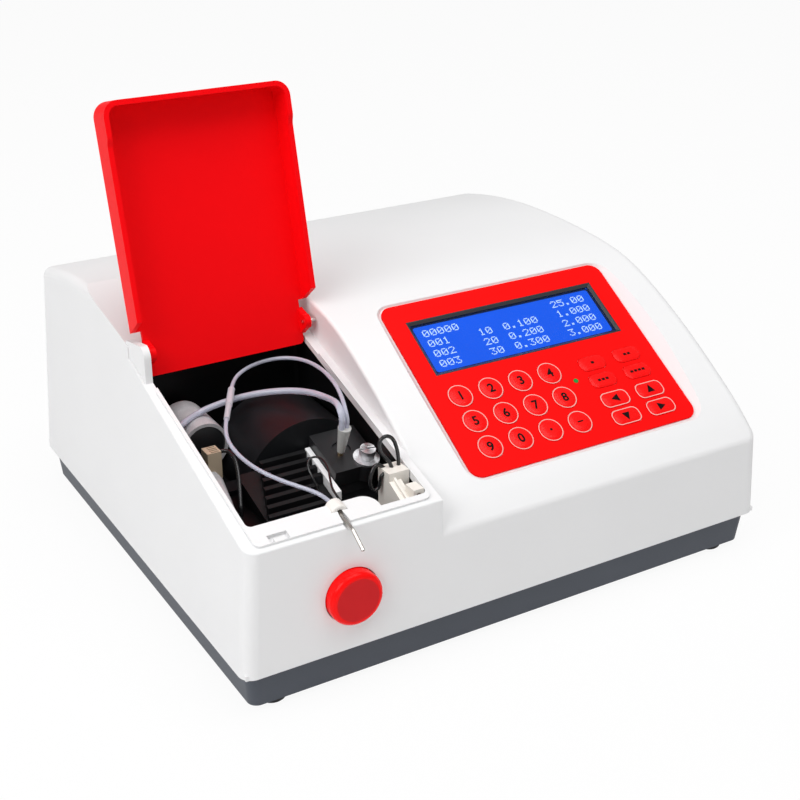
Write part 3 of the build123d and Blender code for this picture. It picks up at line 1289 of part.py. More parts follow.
INTERLOCK_ROUTE_A = [
    (-71.5, -131.6, 107.0),
    (-71.5, -131.6, 112.4),
    (-74.2, -130.4, 116.0),
    (-77.0, -129.4, 119.7),
    (-78.2, -128.8, 123.9),
    (-77.0, -128.6, 127.7),
    (-74.2, -128.6, 129.4),
    (-70.9, -128.8, 128.6),
    (-68.6, -129.2, 125.7),
    (-67.4, -129.8, 121.7),
    (-66.8, -130.6, 117.0),
    (-66.8, -131.2, 112.6),
    (-66.8, -131.2, 107.0),
]
INTERLOCK_ROUTE_B = [
    (-73.4, -128.6, 108.6),
    (-76.4, -128.8, 111.6),
    (-79.0, -129.1, 113.4),
    (-81.6, -129.6, 112.8),
    (-83.6, -130.2, 109.8),
    (-84.9, -130.7, 105.8),
    (-85.0, -131.0, 102.4),
    (-82.9, -131.4, 98.4),
    (-79.7, -131.7, 100.2),
    (-79.0, -132.0, 104.2),
    (-78.8, -132.3, 107.2),
    (-76.8, -132.6, 109.0),
    (-74.0, -132.8, 109.2),
]

sample_tube_rear = cord("sample_tube_rear", SAMPLE_REAR_ROUTE, THIN_TUBE_R)
sample_tube_rear.part.label = "sample_tube_rear"
export_step(sample_tube_rear.part, "parts/sample_tube_rear.step")

sample_tube_front = cord("sample_tube_front", SAMPLE_FRONT_ROUTE, THIN_TUBE_R)
sample_tube_front.part.label = "sample_tube_front"
export_step(sample_tube_front.part, "parts/sample_tube_front.step")

waste_tube = cord("waste_tube", WASTE_ROUTE, WASTE_TUBE_R)
waste_tube.part.label = "waste_tube"
export_step(waste_tube.part, "parts/waste_tube.step")

connector_cable = cord("connector_cable", CONNECTOR_ROUTE, CABLE_R)
connector_cable.part.label = "connector_cable"
export_step(connector_cable.part, "parts/connector_cable.step")

probe_wire = cord("probe_wire", PROBE_ROUTE, PROBE_WIRE_R)
probe_wire.part.label = "probe_wire"
export_step(probe_wire.part, "parts/probe_wire.step")

upper_loop = cord("interlock upper loop", INTERLOCK_ROUTE_A, INTERLOCK_WIRE_R)
lower_loop = cord("interlock lower loop", INTERLOCK_ROUTE_B, INTERLOCK_WIRE_R)
with BuildPart() as interlock_wires:
    add(upper_loop.part)
    add(lower_loop.part)
interlock_wires.part.label = "interlock_wires"
export_step(interlock_wires.part, "parts/interlock_wires.step")

upper_socket = cord("upper socket", INTERLOCK_ROUTE_A, INTERLOCK_WIRE_R + WIRE_CLEARANCE)
lower_socket = cord("lower socket", INTERLOCK_ROUTE_B, INTERLOCK_WIRE_R + WIRE_CLEARANCE)
with BuildPart() as interlock_bracket:
    # the connector's head, the sloped body ahead of it with a fin, and the foot
    with BuildSketch(Plane.XY.offset(LINER_FLOOR_Z)):
        with Locations(((BRACKET_LEFT + BRACKET_RIGHT) / 2, BRACKET_REAR_Y - BRACKET_HEAD_DEPTH / 2)):
            Rectangle(BRACKET_RIGHT - BRACKET_LEFT, BRACKET_HEAD_DEPTH)
    extrude(amount=BRACKET_HEAD_TOP - LINER_FLOOR_Z)
    body_and_fin = (BRACKET_LEFT, BRACKET_BODY_WIDTH, 0), (BRACKET_FIN_X, BRACKET_FIN, BRACKET_FIN_RISE)
    for left, width, rise in body_and_fin:
        with BuildSketch(Plane.YZ.offset(left)):
            with BuildLine():
                Polyline(
                    (BRACKET_REAR_Y - BRACKET_BODY_SETBACK, LINER_FLOOR_Z),
                    (BRACKET_REAR_Y - BRACKET_BODY_SETBACK, BRACKET_HEAD_TOP - BRACKET_BODY_DROP),
                    (BRACKET_REAR_Y - BRACKET_HEAD_DEPTH / 2, BRACKET_HEAD_TOP - BRACKET_FIN_RISE + rise),
                    (BRACKET_FRONT_Y, BRACKET_FRONT_TOP + rise),
                    (BRACKET_FRONT_Y, LINER_FLOOR_Z),
                    close=True,
                )
            make_face()
        extrude(amount=width)
    foot_y = BRACKET_FRONT_Y + BRACKET_FOOT_DEPTH / 2
    foot_x = BRACKET_RIGHT - BRACKET_FOOT_WIDTH / 2
    with BuildSketch(Plane.XY.offset(LINER_FLOOR_Z)):
        with Locations((foot_x, foot_y)):
            Rectangle(BRACKET_FOOT_WIDTH, BRACKET_FOOT_DEPTH)
    extrude(amount=BRACKET_FOOT_TOP - LINER_FLOOR_Z)
    with BuildSketch(Plane.XZ.offset(-BRACKET_FRONT_Y)):
        with Locations((foot_x, BRACKET_FOOT_TOP - BRACKET_HOLE_DROP)):
            Circle(BRACKET_HOLE_R)
    extrude(amount=-BRACKET_FOOT_DEPTH + BRACKET_HOLE_FLOOR, mode=Mode.SUBTRACT)
    # the sockets that the wires' ends sit in
    add(upper_socket.part, mode=Mode.SUBTRACT)
    add(lower_socket.part, mode=Mode.SUBTRACT)
interlock_bracket.part.label = "interlock_bracket"
export_step(interlock_bracket.part, "parts/interlock_bracket.step")

with BuildPart() as tube_union:
    with BuildSketch(Plane(origin=UNION_REAR, z_dir=union_way)):
        Circle(UNION_R)
    extrude(amount=(UNION_FRONT - UNION_REAR).length * UNION_WIDE_SHARE)
    with BuildSketch(Plane(origin=UNION_REAR, z_dir=union_way)):
        Circle(UNION_NARROW_R)
    extrude(amount=(UNION_FRONT - UNION_REAR).length)
tube_union.part.label = "tube_union"
export_step(tube_union.part, "parts/tube_union.step")

# --------------------------------------------------------------- the console
with BuildPart() as keypad_panel:
    with BuildSketch(panel_plane(-PANEL_THICKNESS)):
        with Locations((PANEL_X, PANEL_V)):
            RectangleRounded(PANEL_WIDTH, PANEL_HEIGHT, PANEL_CORNER_R)
        with Locations((DISPLAY_X, DISPLAY_V)):
            Rectangle(DISPLAY_WIDTH + 2 * DISPLAY_GAP, DISPLAY_HEIGHT + 2 * DISPLAY_GAP, mode=Mode.SUBTRACT)
        with Locations((LED_X, LED_V)):
            Circle(LED_R + DISPLAY_GAP, mode=Mode.SUBTRACT)
        for column in range(4):
            for row in range(3):
                with Locations((KEY_FIRST_X + column * KEY_PITCH_X, KEY_FIRST_V - row * KEY_PITCH_V)):
                    Circle(KEY_R + KEY_GAP, mode=Mode.SUBTRACT)
        for x in FUNCTION_X:
            for v in FUNCTION_V:
                with Locations((x, v)):
                    RectangleRounded(
                        FUNCTION_SIZE[0] + 2 * KEY_GAP,
                        FUNCTION_SIZE[1] + 2 * KEY_GAP,
                        OBLONG_CORNER_R + KEY_GAP,
                        mode=Mode.SUBTRACT,
                    )
            for v in ARROW_V:
                with Locations((x, v)):
                    RectangleRounded(
                        ARROW_SIZE[0] + 2 * KEY_GAP,
                        ARROW_SIZE[1] + 2 * KEY_GAP,
                        OBLONG_CORNER_R + KEY_GAP,
                        mode=Mode.SUBTRACT,
                    )
    extrude(amount=PANEL_THICKNESS)
keypad_panel.part.label = "keypad_panel"
export_step(keypad_panel.part, "parts/keypad_panel.step")

floor_under = PANEL_THICKNESS + POCKET_FLOOR        # the pocket floor's underside
display_back = floor_under + DISPLAY_FLANGE_THICKNESS
window_size = (DISPLAY_WIDTH - 2 * DISPLAY_BEVEL, DISPLAY_HEIGHT - 2 * DISPLAY_BEVEL)
with BuildPart() as display_frame:
    with BuildSketch(panel_plane(-display_back)):
        with Locations((DISPLAY_X, DISPLAY_V)):
            Rectangle(DISPLAY_WIDTH + 2 * DISPLAY_FLANGE, DISPLAY_HEIGHT + 2 * DISPLAY_FLANGE)
    extrude(amount=DISPLAY_FLANGE_THICKNESS)
    with BuildSketch(panel_plane(-display_back)):
        with Locations((DISPLAY_X, DISPLAY_V)):
            Rectangle(DISPLAY_WIDTH, DISPLAY_HEIGHT)
    extrude(amount=display_back)
    with BuildSketch(panel_plane(-display_back)):
        with Locations((DISPLAY_X, DISPLAY_V)):
            Rectangle(*window_size)
    extrude(amount=display_back, mode=Mode.SUBTRACT)
    with BuildSketch(panel_plane(-DISPLAY_DEPTH)):
        with Locations((DISPLAY_X, DISPLAY_V)):
            Rectangle(*window_size)
    with BuildSketch(panel_plane(0)):
        with Locations((DISPLAY_X, DISPLAY_V)):
            Rectangle(DISPLAY_WIDTH - 2 * DISPLAY_EDGE, DISPLAY_HEIGHT - 2 * DISPLAY_EDGE)
    loft(ruled=True, mode=Mode.SUBTRACT)
display_frame.part.label = "display_frame"
export_step(display_frame.part, "parts/display_frame.step")

with BuildPart() as display_window:
    with BuildSketch(panel_plane(-DISPLAY_DEPTH - WINDOW_THICKNESS)):
        with Locations((DISPLAY_X, DISPLAY_V)):
            Rectangle(*window_size)
    extrude(amount=WINDOW_THICKNESS)
display_window.part.label = "display_window"
export_step(display_window.part, "parts/display_window.step")

with BuildPart() as display_module:
    with BuildSketch(panel_plane(-display_back - MODULE_THICKNESS)):
        with Locations((DISPLAY_X, DISPLAY_V)):
            Rectangle(DISPLAY_WIDTH + 2 * DISPLAY_FLANGE, DISPLAY_HEIGHT + 2 * DISPLAY_FLANGE)
    extrude(amount=MODULE_THICKNESS)
display_module.part.label = "display_module"
export_step(display_module.part, "parts/display_module.step")

board_top = floor_under + BOARD_DROP
board_v = KEY_FIRST_V - KEY_PITCH_V
with BuildPart() as main_board:
    with BuildSketch(panel_plane(-board_top - BOARD_THICKNESS)):
        with Locations((PANEL_X, board_v)):
            Rectangle(BOARD_WIDTH, BOARD_HEIGHT)
    extrude(amount=BOARD_THICKNESS)
    with BuildSketch(panel_plane(-board_top)):
        with Locations((PANEL_X, board_v)):
            with GridLocations(BOARD_WIDTH - 2 * PILLAR_INSET, BOARD_HEIGHT - 2 * PILLAR_INSET, 2, 2):
                Circle(PILLAR_R)
    extrude(amount=BOARD_DROP)
main_board.part.label = "main_board"
export_step(main_board.part, "parts/main_board.step")

with BuildPart() as status_led:
    with BuildSketch(panel_plane(-floor_under - LED_FLANGE_THICKNESS)):
        with Locations((LED_X, LED_V)):
            Circle(LED_FLANGE_R)
    extrude(amount=LED_FLANGE_THICKNESS)
    with BuildSketch(panel_plane(-board_top)):
        with Locations((LED_X, LED_V)):
            Circle(LED_R)
    extrude(amount=board_top + LED_PROUD)
status_led.part.label = "status_led"
export_step(status_led.part, "parts/status_led.step")

key_bottom = KEY_PROUD - KEY_CAP
stem_length = board_top - KEY_TRAVEL - KEY_REST_GAP + key_bottom
DIGIT_NAMES = [
    ["key_1", "key_2", "key_3", "key_4"],
    ["key_5", "key_6", "key_7", "key_8"],
    ["key_9", "key_0", "key_point", "key_minus"],
]
for row, names in enumerate(DIGIT_NAMES):
    for column, name in enumerate(names):
        with BuildPart() as key:
            with BuildSketch(panel_plane(key_bottom)):
                with Locations((KEY_FIRST_X + column * KEY_PITCH_X, KEY_FIRST_V - row * KEY_PITCH_V)):
                    Circle(KEY_R)
            extrude(amount=KEY_CAP)
            fillet(key.edges().sort_by(lambda e: e.center().dot(panel_plane().z_dir))[-1], KEY_EDGE_R)
            with BuildSketch(panel_plane(key_bottom)):
                with Locations((KEY_FIRST_X + column * KEY_PITCH_X, KEY_FIRST_V - row * KEY_PITCH_V)):
                    Circle(KEY_STEM_R)
            extrude(amount=-stem_length)
        key.part.label = name
        export_step(key.part, f"parts/{name}.step")

FUNCTION_KEYS = {
    "key_function_1": (FUNCTION_X[0], FUNCTION_V[0], FUNCTION_SIZE),
    "key_function_2": (FUNCTION_X[1], FUNCTION_V[0], FUNCTION_SIZE),
    "key_function_3": (FUNCTION_X[0], FUNCTION_V[1], FUNCTION_SIZE),
    "key_function_4": (FUNCTION_X[1], FUNCTION_V[1], FUNCTION_SIZE),
    "key_left": (FUNCTION_X[0], ARROW_V[0], ARROW_SIZE),
    "key_up": (FUNCTION_X[1], ARROW_V[0], ARROW_SIZE),
    "key_down": (FUNCTION_X[0], ARROW_V[1], ARROW_SIZE),
    "key_right": (FUNCTION_X[1], ARROW_V[1], ARROW_SIZE),
}
for name, (x, v, size) in FUNCTION_KEYS.items():
    with BuildPart() as key:
        with BuildSketch(panel_plane(key_bottom)):
            with Locations((x, v)):
                RectangleRounded(*size, OBLONG_CORNER_R)
        extrude(amount=KEY_CAP)
        fillet(key.faces().sort_by(lambda f: f.center().dot(panel_plane().z_dir))[-1].edges(), KEY_EDGE_R)
        with BuildSketch(panel_plane(key_bottom)):
            with Locations((x, v)):
                Circle(KEY_STEM_R)
        extrude(amount=-stem_length)
    key.part.label = name
    export_step(key.part, f"parts/{name}.step")

# ---------------------------------------------------------- the front button
button_front = FRONT_Y - BUTTON_PROUD
button_back = button_front + BUTTON_LENGTH
with BuildPart() as sample_button:
    with BuildSketch(axle_plane(BUTTON_X, button_front, BUTTON_Z)):
        Circle(BUTTON_R)
    extrude(amount=BUTTON_LENGTH)
    fillet(sample_button.faces().sort_by(Axis.Y)[0].edges(), BUTTON_ROUND)
    with BuildSketch(axle_plane(BUTTON_X, button_back, BUTTON_Z)):
        Circle(STEM_R)
    extrude(amount=STEM_END_Y - button_back)
    with BuildSketch(axle_plane(BUTTON_X, CUP_FLOOR_Y + CUP_FLOOR + SNAP_GAP, BUTTON_Z)):
        Circle(SNAP_R)
    extrude(amount=SNAP_THICKNESS)
sample_button.part.label = "sample_button"
export_step(sample_button.part, "parts/sample_button.step")

spring_length = CUP_FLOOR_Y - button_back - 2 * SPRING_WIRE_R
with BuildPart() as button_spring:
    with BuildLine():
        coil = Helix(
            pitch=spring_length / SPRING_TURNS,
            height=spring_length,
            radius=SPRING_R,
            center=(BUTTON_X, button_back + SPRING_WIRE_R, BUTTON_Z),
            direction=(0, 1, 0),
        )
    with BuildSketch(Plane(origin=coil @ 0, z_dir=coil % 0)):
        Circle(SPRING_WIRE_R)
    sweep(is_frenet=True)
button_spring.part.label = "button_spring"
export_step(button_spring.part, "parts/button_spring.step")

# -------------------------------------------------------------- rear fittings
with BuildPart() as power_inlet:
    with BuildSketch(rear_wall(INLET_X, INLET_Z)):
        RectangleRounded(INLET_FLANGE[0], INLET_FLANGE[1], INLET_CORNER_R + 1)
    extrude(amount=INLET_FLANGE[2])
    with BuildSketch(rear_wall(INLET_X, INLET_Z)):
        RectangleRounded(INLET_WIDTH, INLET_HEIGHT, INLET_CORNER_R)
    extrude(amount=-INLET_DEPTH)
    with BuildSketch(rear_wall(INLET_X, INLET_Z).offset(INLET_FLANGE[2])) as socket:
        Rectangle(INLET_WIDTH - 2 * INLET_WALL, INLET_HEIGHT - 2 * INLET_WALL)
        chamfer(socket.sketch_local.vertices().group_by(Axis.Y)[-1], INLET_CHAMFER)
    extrude(amount=-INLET_SOCKET_DEPTH, mode=Mode.SUBTRACT)
    with BuildSketch(rear_wall(INLET_X, INLET_Z).offset(INLET_FLANGE[2] - INLET_SOCKET_DEPTH - MERGE)):
        with Locations(*INLET_PINS):
            Rectangle(*INLET_PIN)
    extrude(amount=INLET_SOCKET_DEPTH - INLET_PIN_SHORT)
power_inlet.part.label = "power_inlet"
export_step(power_inlet.part, "parts/power_inlet.step")

outlet_wall_y = REAR_Y - END_DRAFT * (OUTLET_Z - SPLIT_Z)
with BuildPart() as waste_outlet:
    # a flange square to the spigot outside, and flat on the leaning wall inside
    with BuildSketch(axle_plane(OUTLET_X, outlet_wall_y - WALL / 2, OUTLET_Z)):
        Circle(OUTLET_FLANGE_R)
    extrude(amount=OUTLET_FLANGE + WALL / 2)
    split(bisect_by=rear_wall(OUTLET_X, OUTLET_Z), keep=Keep.TOP)
    with BuildSketch(rear_wall(OUTLET_X, OUTLET_Z)):
        Circle(OUTLET_SHANK_R)
    extrude(amount=-OUTLET_SHANK)
    with BuildSketch(axle_plane(OUTLET_X, outlet_wall_y + OUTLET_FLANGE / 2, OUTLET_Z)):
        Circle(OUTLET_R)
    extrude(amount=needle_reach - outlet_wall_y - OUTLET_FLANGE / 2)
    chamfer(waste_outlet.faces().sort_by(Axis.Y)[-1].edges(), OUTLET_CHAMFER)
    with BuildSketch(axle_plane(OUTLET_X, outlet_wall_y - OUTLET_SHANK - MERGE, OUTLET_Z)):
        Circle(OUTLET_BORE_R)
    extrude(amount=needle_reach - outlet_wall_y + OUTLET_SHANK + 2 * MERGE, mode=Mode.SUBTRACT)
waste_outlet.part.label = "waste_outlet"
export_step(waste_outlet.part, "parts/waste_outlet.step")
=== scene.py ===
# %% [markdown]
# # A benchtop chemistry analyzer, dressed
# The object is a laboratory instrument about as large as a microwave oven: a white moulded case on
# a dark tray, a red lid over a measuring bay full of small black parts and milky tubes, and a
# sloped keypad with a blue display. Its solid pieces come from a CAD model. This file gives each of
# them a finish, adds what is too thin or too soft for solids, such as printed rings, key domes,
# display dots and tubes, and sets up the camera and the light.

# %% Load the solids
import math

import bmesh
import bpy
import numpy as np
from mathutils import Matrix, Vector


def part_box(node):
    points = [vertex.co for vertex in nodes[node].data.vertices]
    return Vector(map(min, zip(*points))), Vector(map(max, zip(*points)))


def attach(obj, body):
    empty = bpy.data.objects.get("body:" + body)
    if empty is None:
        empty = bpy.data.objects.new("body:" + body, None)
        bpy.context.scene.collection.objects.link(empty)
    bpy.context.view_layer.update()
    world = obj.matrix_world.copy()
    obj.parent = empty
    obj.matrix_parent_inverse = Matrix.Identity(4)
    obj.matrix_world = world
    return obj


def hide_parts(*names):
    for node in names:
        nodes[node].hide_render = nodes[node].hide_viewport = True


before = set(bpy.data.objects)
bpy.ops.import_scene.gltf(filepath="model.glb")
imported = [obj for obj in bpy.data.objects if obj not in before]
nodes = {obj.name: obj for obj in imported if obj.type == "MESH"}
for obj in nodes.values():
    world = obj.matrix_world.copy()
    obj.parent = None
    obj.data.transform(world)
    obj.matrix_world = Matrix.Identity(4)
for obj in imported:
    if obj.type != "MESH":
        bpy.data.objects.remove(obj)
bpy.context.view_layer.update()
MM = 0.001

# %% [markdown]
# ## The camera
# A product photograph is usually taken with a short telephoto lens from a little above and to one
# side. The camera's place was found from the straight edges of the case: lines that are parallel on
# the object meet at vanishing points, and these give the direction and the focal length. A camera
# looks along its own -Z, so its turn is a matrix of its right, up and backward directions.

# %% Place the camera
AZIMUTH = math.radians(-30.79)
ELEVATION = math.radians(24.89)
CAMERA_PLACE = Vector((-0.4193, -0.7243, 0.4707))
FOCAL_PIXELS = 1397.0
PICTURE_PIXELS = 800
SENSOR_WIDTH = 36.0

backward = Vector(
    (
        math.sin(AZIMUTH) * math.cos(ELEVATION),
        -math.cos(AZIMUTH) * math.cos(ELEVATION),
        math.sin(ELEVATION),
    )
)
rightward = Vector((0, 0, 1)).cross(backward).normalized()
upward = backward.cross(rightward)
camera = bpy.data.objects.new("camera", bpy.data.cameras.new("camera"))
camera.matrix_world = Matrix.Translation(CAMERA_PLACE) @ Matrix((rightward, upward, backward)).transposed().to_4x4()
camera.data.sensor_width = SENSOR_WIDTH
camera.data.lens = SENSOR_WIDTH * FOCAL_PIXELS / PICTURE_PIXELS
camera.data.clip_end = 50
bpy.context.scene.collection.objects.link(camera)
bpy.context.scene.camera = camera
bpy.context.scene.view_settings.view_transform = "Standard"
print("lens", round(camera.data.lens, 1), "mm")

# %% [markdown]
# ## Shader maths as Python
# A finish is a network of nodes. Wiring them by hand hides the formula, so a small class wraps a
# node's output and gives it Python's operators: `1 - mask * 0.2` then adds the Math nodes by
# itself. The second class is a material in the making, with one method that adds any node.


# %% A wrapped socket
class Signal:
    """A node's output that can be used in Python arithmetic."""

    def __init__(self, finish, socket):
        self.finish = finish
        self.socket = socket

    def math(self, operation, *others, clamp=False):
        """A Math node of that operation on this value and the others."""
        inputs = {index: value for index, value in enumerate((self, *others))}
        return self.finish.node("ShaderNodeMath", {"operation": operation, "use_clamp": clamp}, inputs)

    def __add__(self, other):
        return self.math("ADD", other)

    def __sub__(self, other):
        return self.math("SUBTRACT", other)

    def __rsub__(self, other):
        return (self * -1).math("ADD", other)

    def __mul__(self, other):
        return self.math("MULTIPLY", other)

    def __truediv__(self, other):
        return self.math("DIVIDE", other)

    def __pow__(self, other):
        return self.math("POWER", other)

    def __gt__(self, other):
        return self.math("GREATER_THAN", other)

    def __lt__(self, other):
        return self.math("LESS_THAN", other)

    __radd__ = __add__
    __rmul__ = __mul__

    def wave(self, turns):
        """A sine of this value that swings from 0 to 1, with so many turns per unit."""
        return (self * (2 * math.pi * turns)).math("SINE") * 0.5 + 0.5

    def step(self, low, high):
        """0 below low, 1 above high, and a smooth rise between them."""
        settings = {"interpolation_type": "SMOOTHSTEP"}
        return self.finish.node("ShaderNodeMapRange", settings, {"Value": self, "From Min": low, "From Max": high})


# %% A material in the making
class Finish:
    """A material with a Principled shader, and helpers that add nodes to it."""

    def __init__(self, name, colour, roughness, **constants):
        self.material = bpy.data.materials.new(name)
        self.material.use_nodes = True
        self.tree = self.material.node_tree
        self.shader = self.tree.nodes["Principled BSDF"]
        self.colour = (*colour, 1.0)
        self.shader.inputs["Base Color"].default_value = self.colour
        self.shader.inputs["Roughness"].default_value = roughness
        for label, value in constants.items():
            self.shader.inputs[label.replace("_", " ")].default_value = value
        self.coordinates = self.node("ShaderNodeTexCoord", {}, {}, "Object")

    def node(self, kind, settings, inputs, output=0):
        """Adds a node: its settings first, then the values or links of its sockets."""
        node = self.tree.nodes.new(kind)
        for key, value in settings.items():
            setattr(node, key, value)
        for key, value in inputs.items():
            if isinstance(value, Signal):
                self.tree.links.new(value.socket, node.inputs[key])
            else:
                node.inputs[key].default_value = value
        return Signal(self, node.outputs[output])

    def axis(self, letter, about=(0, 0, 0)):
        """One object coordinate in millimetres, measured from a place."""
        index = "XYZ".index(letter)
        split = self.node("ShaderNodeSeparateXYZ", {}, {0: self.coordinates}, index)
        return split * 1000 - about[index]

    def noise(self, size, detail=2.0, stretch=(1, 1, 1)):
        """Noise whose blobs are about so many millimetres, stretched along each axis."""
        scale = [1 / s for s in stretch]
        spot = self.node("ShaderNodeVectorMath", {"operation": "MULTIPLY"}, {0: self.coordinates, 1: scale})
        return self.node("ShaderNodeTexNoise", {}, {"Vector": spot, "Scale": 1000 / size, "Detail": detail})

    def mix(self, factor, first, second):
        """A colour between two colours."""
        pair = [(*c, 1.0) if isinstance(c, tuple) and len(c) == 3 else c for c in (first, second)]
        inputs = {0: factor, 6: pair[0], 7: pair[1]}
        return self.node("ShaderNodeMix", {"data_type": "RGBA"}, inputs, 2)

    def set(self, **links):
        """Feeds the shader's sockets."""
        for label, signal in links.items():
            self.tree.links.new(signal.socket, self.shader.inputs[label.replace("_", " ")])
        return self

    def bump(self, height, depth, strength=1.0):
        """Lets a height between 0 and 1 stand so many millimetres proud."""
        inputs = {"Height": height, "Distance": depth * MM, "Strength": strength}
        return self.set(Normal=self.node("ShaderNodeBump", {}, inputs))


print("shader helpers ready")

# %% [markdown]
# ## Moulded plastic
# Most of the instrument is injection moulded. A mould is spark eroded or sandblasted, so the case
# has a grain of a few tenths of a millimetre that breaks up its reflections, and the colour drifts
# very slightly over a hand's width. One function makes all these plastics: the grain's size and
# depth, the gloss and the drift are its arguments.


# %% Plastics
def plastic(name, colour, roughness, grain=0.5, depth=0.03, drift=0.03, **constants):
    """Plastic with a moulded grain, a slow drift of its colour and a finer one of its gloss."""
    finish = Finish(name, colour, roughness, **constants)
    slow = finish.noise(60, 2)
    fine = finish.noise(grain, 3)
    darker = tuple(c * (1 - 2 * drift) for c in colour)
    lighter = tuple(min(c * (1 + drift), 1.0) for c in colour)
    finish.set(Base_Color=finish.mix(slow, darker, lighter))
    finish.set(Roughness=roughness + (fine - 0.5) * 0.12)
    finish.bump(fine, depth)
    return finish.material


case_white = plastic("case_white", (0.81, 0.81, 0.815), 0.45, grain=0.7, depth=0.02, drift=0.01, Specular_IOR_Level=0.35)
guide_cream = plastic("guide_cream", (0.86, 0.83, 0.79), 0.35, grain=0.4, depth=0.012, drift=0.02)
base_grey = plastic("base_grey", (0.070, 0.079, 0.098), 0.5, grain=0.9, depth=0.05, drift=0.06, Specular_IOR_Level=0.3)
foot_rubber = plastic("foot_rubber", (0.020, 0.020, 0.022), 0.75, grain=0.6, depth=0.05, drift=0.1)
bay_black = plastic("bay_black", (0.0035, 0.0035, 0.004), 0.42, grain=0.6, depth=0.02, drift=0.1, Specular_IOR_Level=0.18)
lid_red = plastic("lid_red", (0.93, 0.003, 0.006), 0.38, grain=2.5, depth=0.008, drift=0.02, Specular_IOR_Level=0.2, IOR=1.2)
connector_beige = plastic("connector_beige", (0.62, 0.50, 0.36), 0.4, grain=0.5, depth=0.02, drift=0.06)
bracket_cream = plastic("bracket_cream", (0.86, 0.82, 0.76), 0.30, grain=0.6, depth=0.02, drift=0.05)
outlet_white = plastic("outlet_white", (0.72, 0.72, 0.70), 0.35, grain=0.5, depth=0.02)
inlet_black = plastic("inlet_black", (0.014, 0.014, 0.015), 0.4, grain=0.5, depth=0.03, drift=0.1)
strip_white = plastic("strip_white", (0.90, 0.90, 0.91), 0.25, grain=0.8, depth=0.02)
print("plastics ready")

# %% [markdown]
# ## Paint, metal, glass and printed film
# The rest is a handful of special finishes. Steel is turned or drawn, so its fine lines run round or
# along it. The keypad is a printed film with a satin face. The filter drum and the heat sink are
# black anodised, which keeps a soft sheen. The pump's housing is a speckled grey. The tubes are
# silicone: milky, so they let some light through and scatter the rest.


# %% Metals
def metal(name, colour, roughness, grain=(0.12, 1.0), stretch=(1, 1, 12), depth=0.01):
    """Metal with fine drawn lines along the axis that is stretched."""
    finish = Finish(name, colour, roughness, Metallic=1.0)
    lines = finish.noise(grain[0], 3, stretch)
    cloud = finish.noise(9, 2)
    shade = tuple(c * 0.72 for c in colour)
    finish.set(Base_Color=finish.mix(lines * 0.5 + cloud * 0.5, shade, colour))
    finish.set(Roughness=roughness + (cloud - 0.5) * 0.16 + (lines - 0.5) * 0.1)
    finish.bump(lines, depth)
    return finish.material


steel = metal("steel", (0.78, 0.77, 0.75), 0.24)
needle_steel = metal("needle_steel", (0.74, 0.70, 0.66), 0.2, stretch=(1, 14, 1))
spring_steel = metal("spring_steel", (0.55, 0.55, 0.56), 0.3)
cell_brass = metal("cell_brass", (0.78, 0.56, 0.32), 0.28)
print("metals ready")


# %% The knurled clamp screw
def screw_finish():
    """Steel with about 60 upright flutes round the cap."""
    low, high = (Vector(c) * 1000 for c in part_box("clamp_screw"))
    middle = (low + high) / 2
    finish = Finish("screw_steel", (0.80, 0.80, 0.82), 0.25, Metallic=1.0)
    across = finish.axis("X", middle)
    along = finish.axis("Y", middle)
    around = along.math("ARCTAN2", across)
    flutes = (around * 60).math("SINE") * 0.5 + 0.5
    lines = finish.noise(0.3, 3)
    finish.set(Base_Color=finish.mix(lines, (0.56, 0.56, 0.58), (0.86, 0.86, 0.88)))
    finish.set(Roughness=0.22 + lines * 0.15)
    finish.bump(flutes * 0.7 + lines * 0.3, 0.12)
    return finish.material


screw_steel = screw_finish()
print("screw finish ready")


# %% Black anodised parts
def anodised(name, colour, roughness, specular, bands=0.0):
    """A black anodised skin, dusty and finely brushed, with lathe bands of so many per mm."""
    finish = Finish(name, colour, roughness, Specular_IOR_Level=specular)
    dust = finish.noise(14, 4)
    fine = finish.noise(0.35, 2)
    finish.set(Base_Color=finish.mix(dust, colour, tuple(c * 2.0 for c in colour)))
    gloss = roughness + (dust - 0.5) * 0.16
    if bands:
        gloss = gloss + (finish.axis("Y").wave(bands) - 0.5) * 0.05
    finish.set(Roughness=gloss)
    finish.bump(fine, 0.015)
    return finish.material


sink_black = anodised("sink_black", (0.004, 0.004, 0.0045), 0.36, 0.22)
drum_black = anodised("drum_black", (0.0055, 0.006, 0.007), 0.38, 0.24, bands=1.5)
block_black = anodised("block_black", (0.009, 0.009, 0.010), 0.36, 0.45)
print("anodised finishes ready")


# %% The speckled pump housing
def speckled(name):
    """Grey cast plastic with pale flecks of about a millimetre over a cloudy ground."""
    finish = Finish(name, (0.50, 0.49, 0.51), 0.5)
    cloud = finish.noise(7, 4)
    fleck = finish.noise(0.7, 2).step(0.60, 0.72)
    ground = finish.mix(cloud, (0.34, 0.33, 0.345), (0.62, 0.61, 0.63))
    finish.set(Base_Color=finish.mix(fleck * 0.5, ground, (0.84, 0.83, 0.84)))
    finish.set(Roughness=0.45 + cloud * 0.15)
    finish.bump(cloud * 0.5 + fleck * 0.5, 0.05)
    return finish.material


pump_grey = speckled("pump_grey")
print("pump finish ready")


# %% Wires and sleeves
def sleeve(name, colour, roughness):
    """A soft plastic sleeve: smooth, with a faint drift along it and small scuffs."""
    finish = Finish(name, colour, roughness)
    drift = finish.noise(5, 3)
    scuff = finish.noise(0.8, 2).step(0.62, 0.75)
    lighter = tuple(min(c * 1.5 + 0.01, 1.0) for c in colour)
    finish.set(Base_Color=finish.mix(drift * 0.6 + scuff * 0.3, colour, lighter))
    finish.set(Roughness=roughness + scuff * 0.2)
    finish.bump(drift, 0.03)
    return finish.material


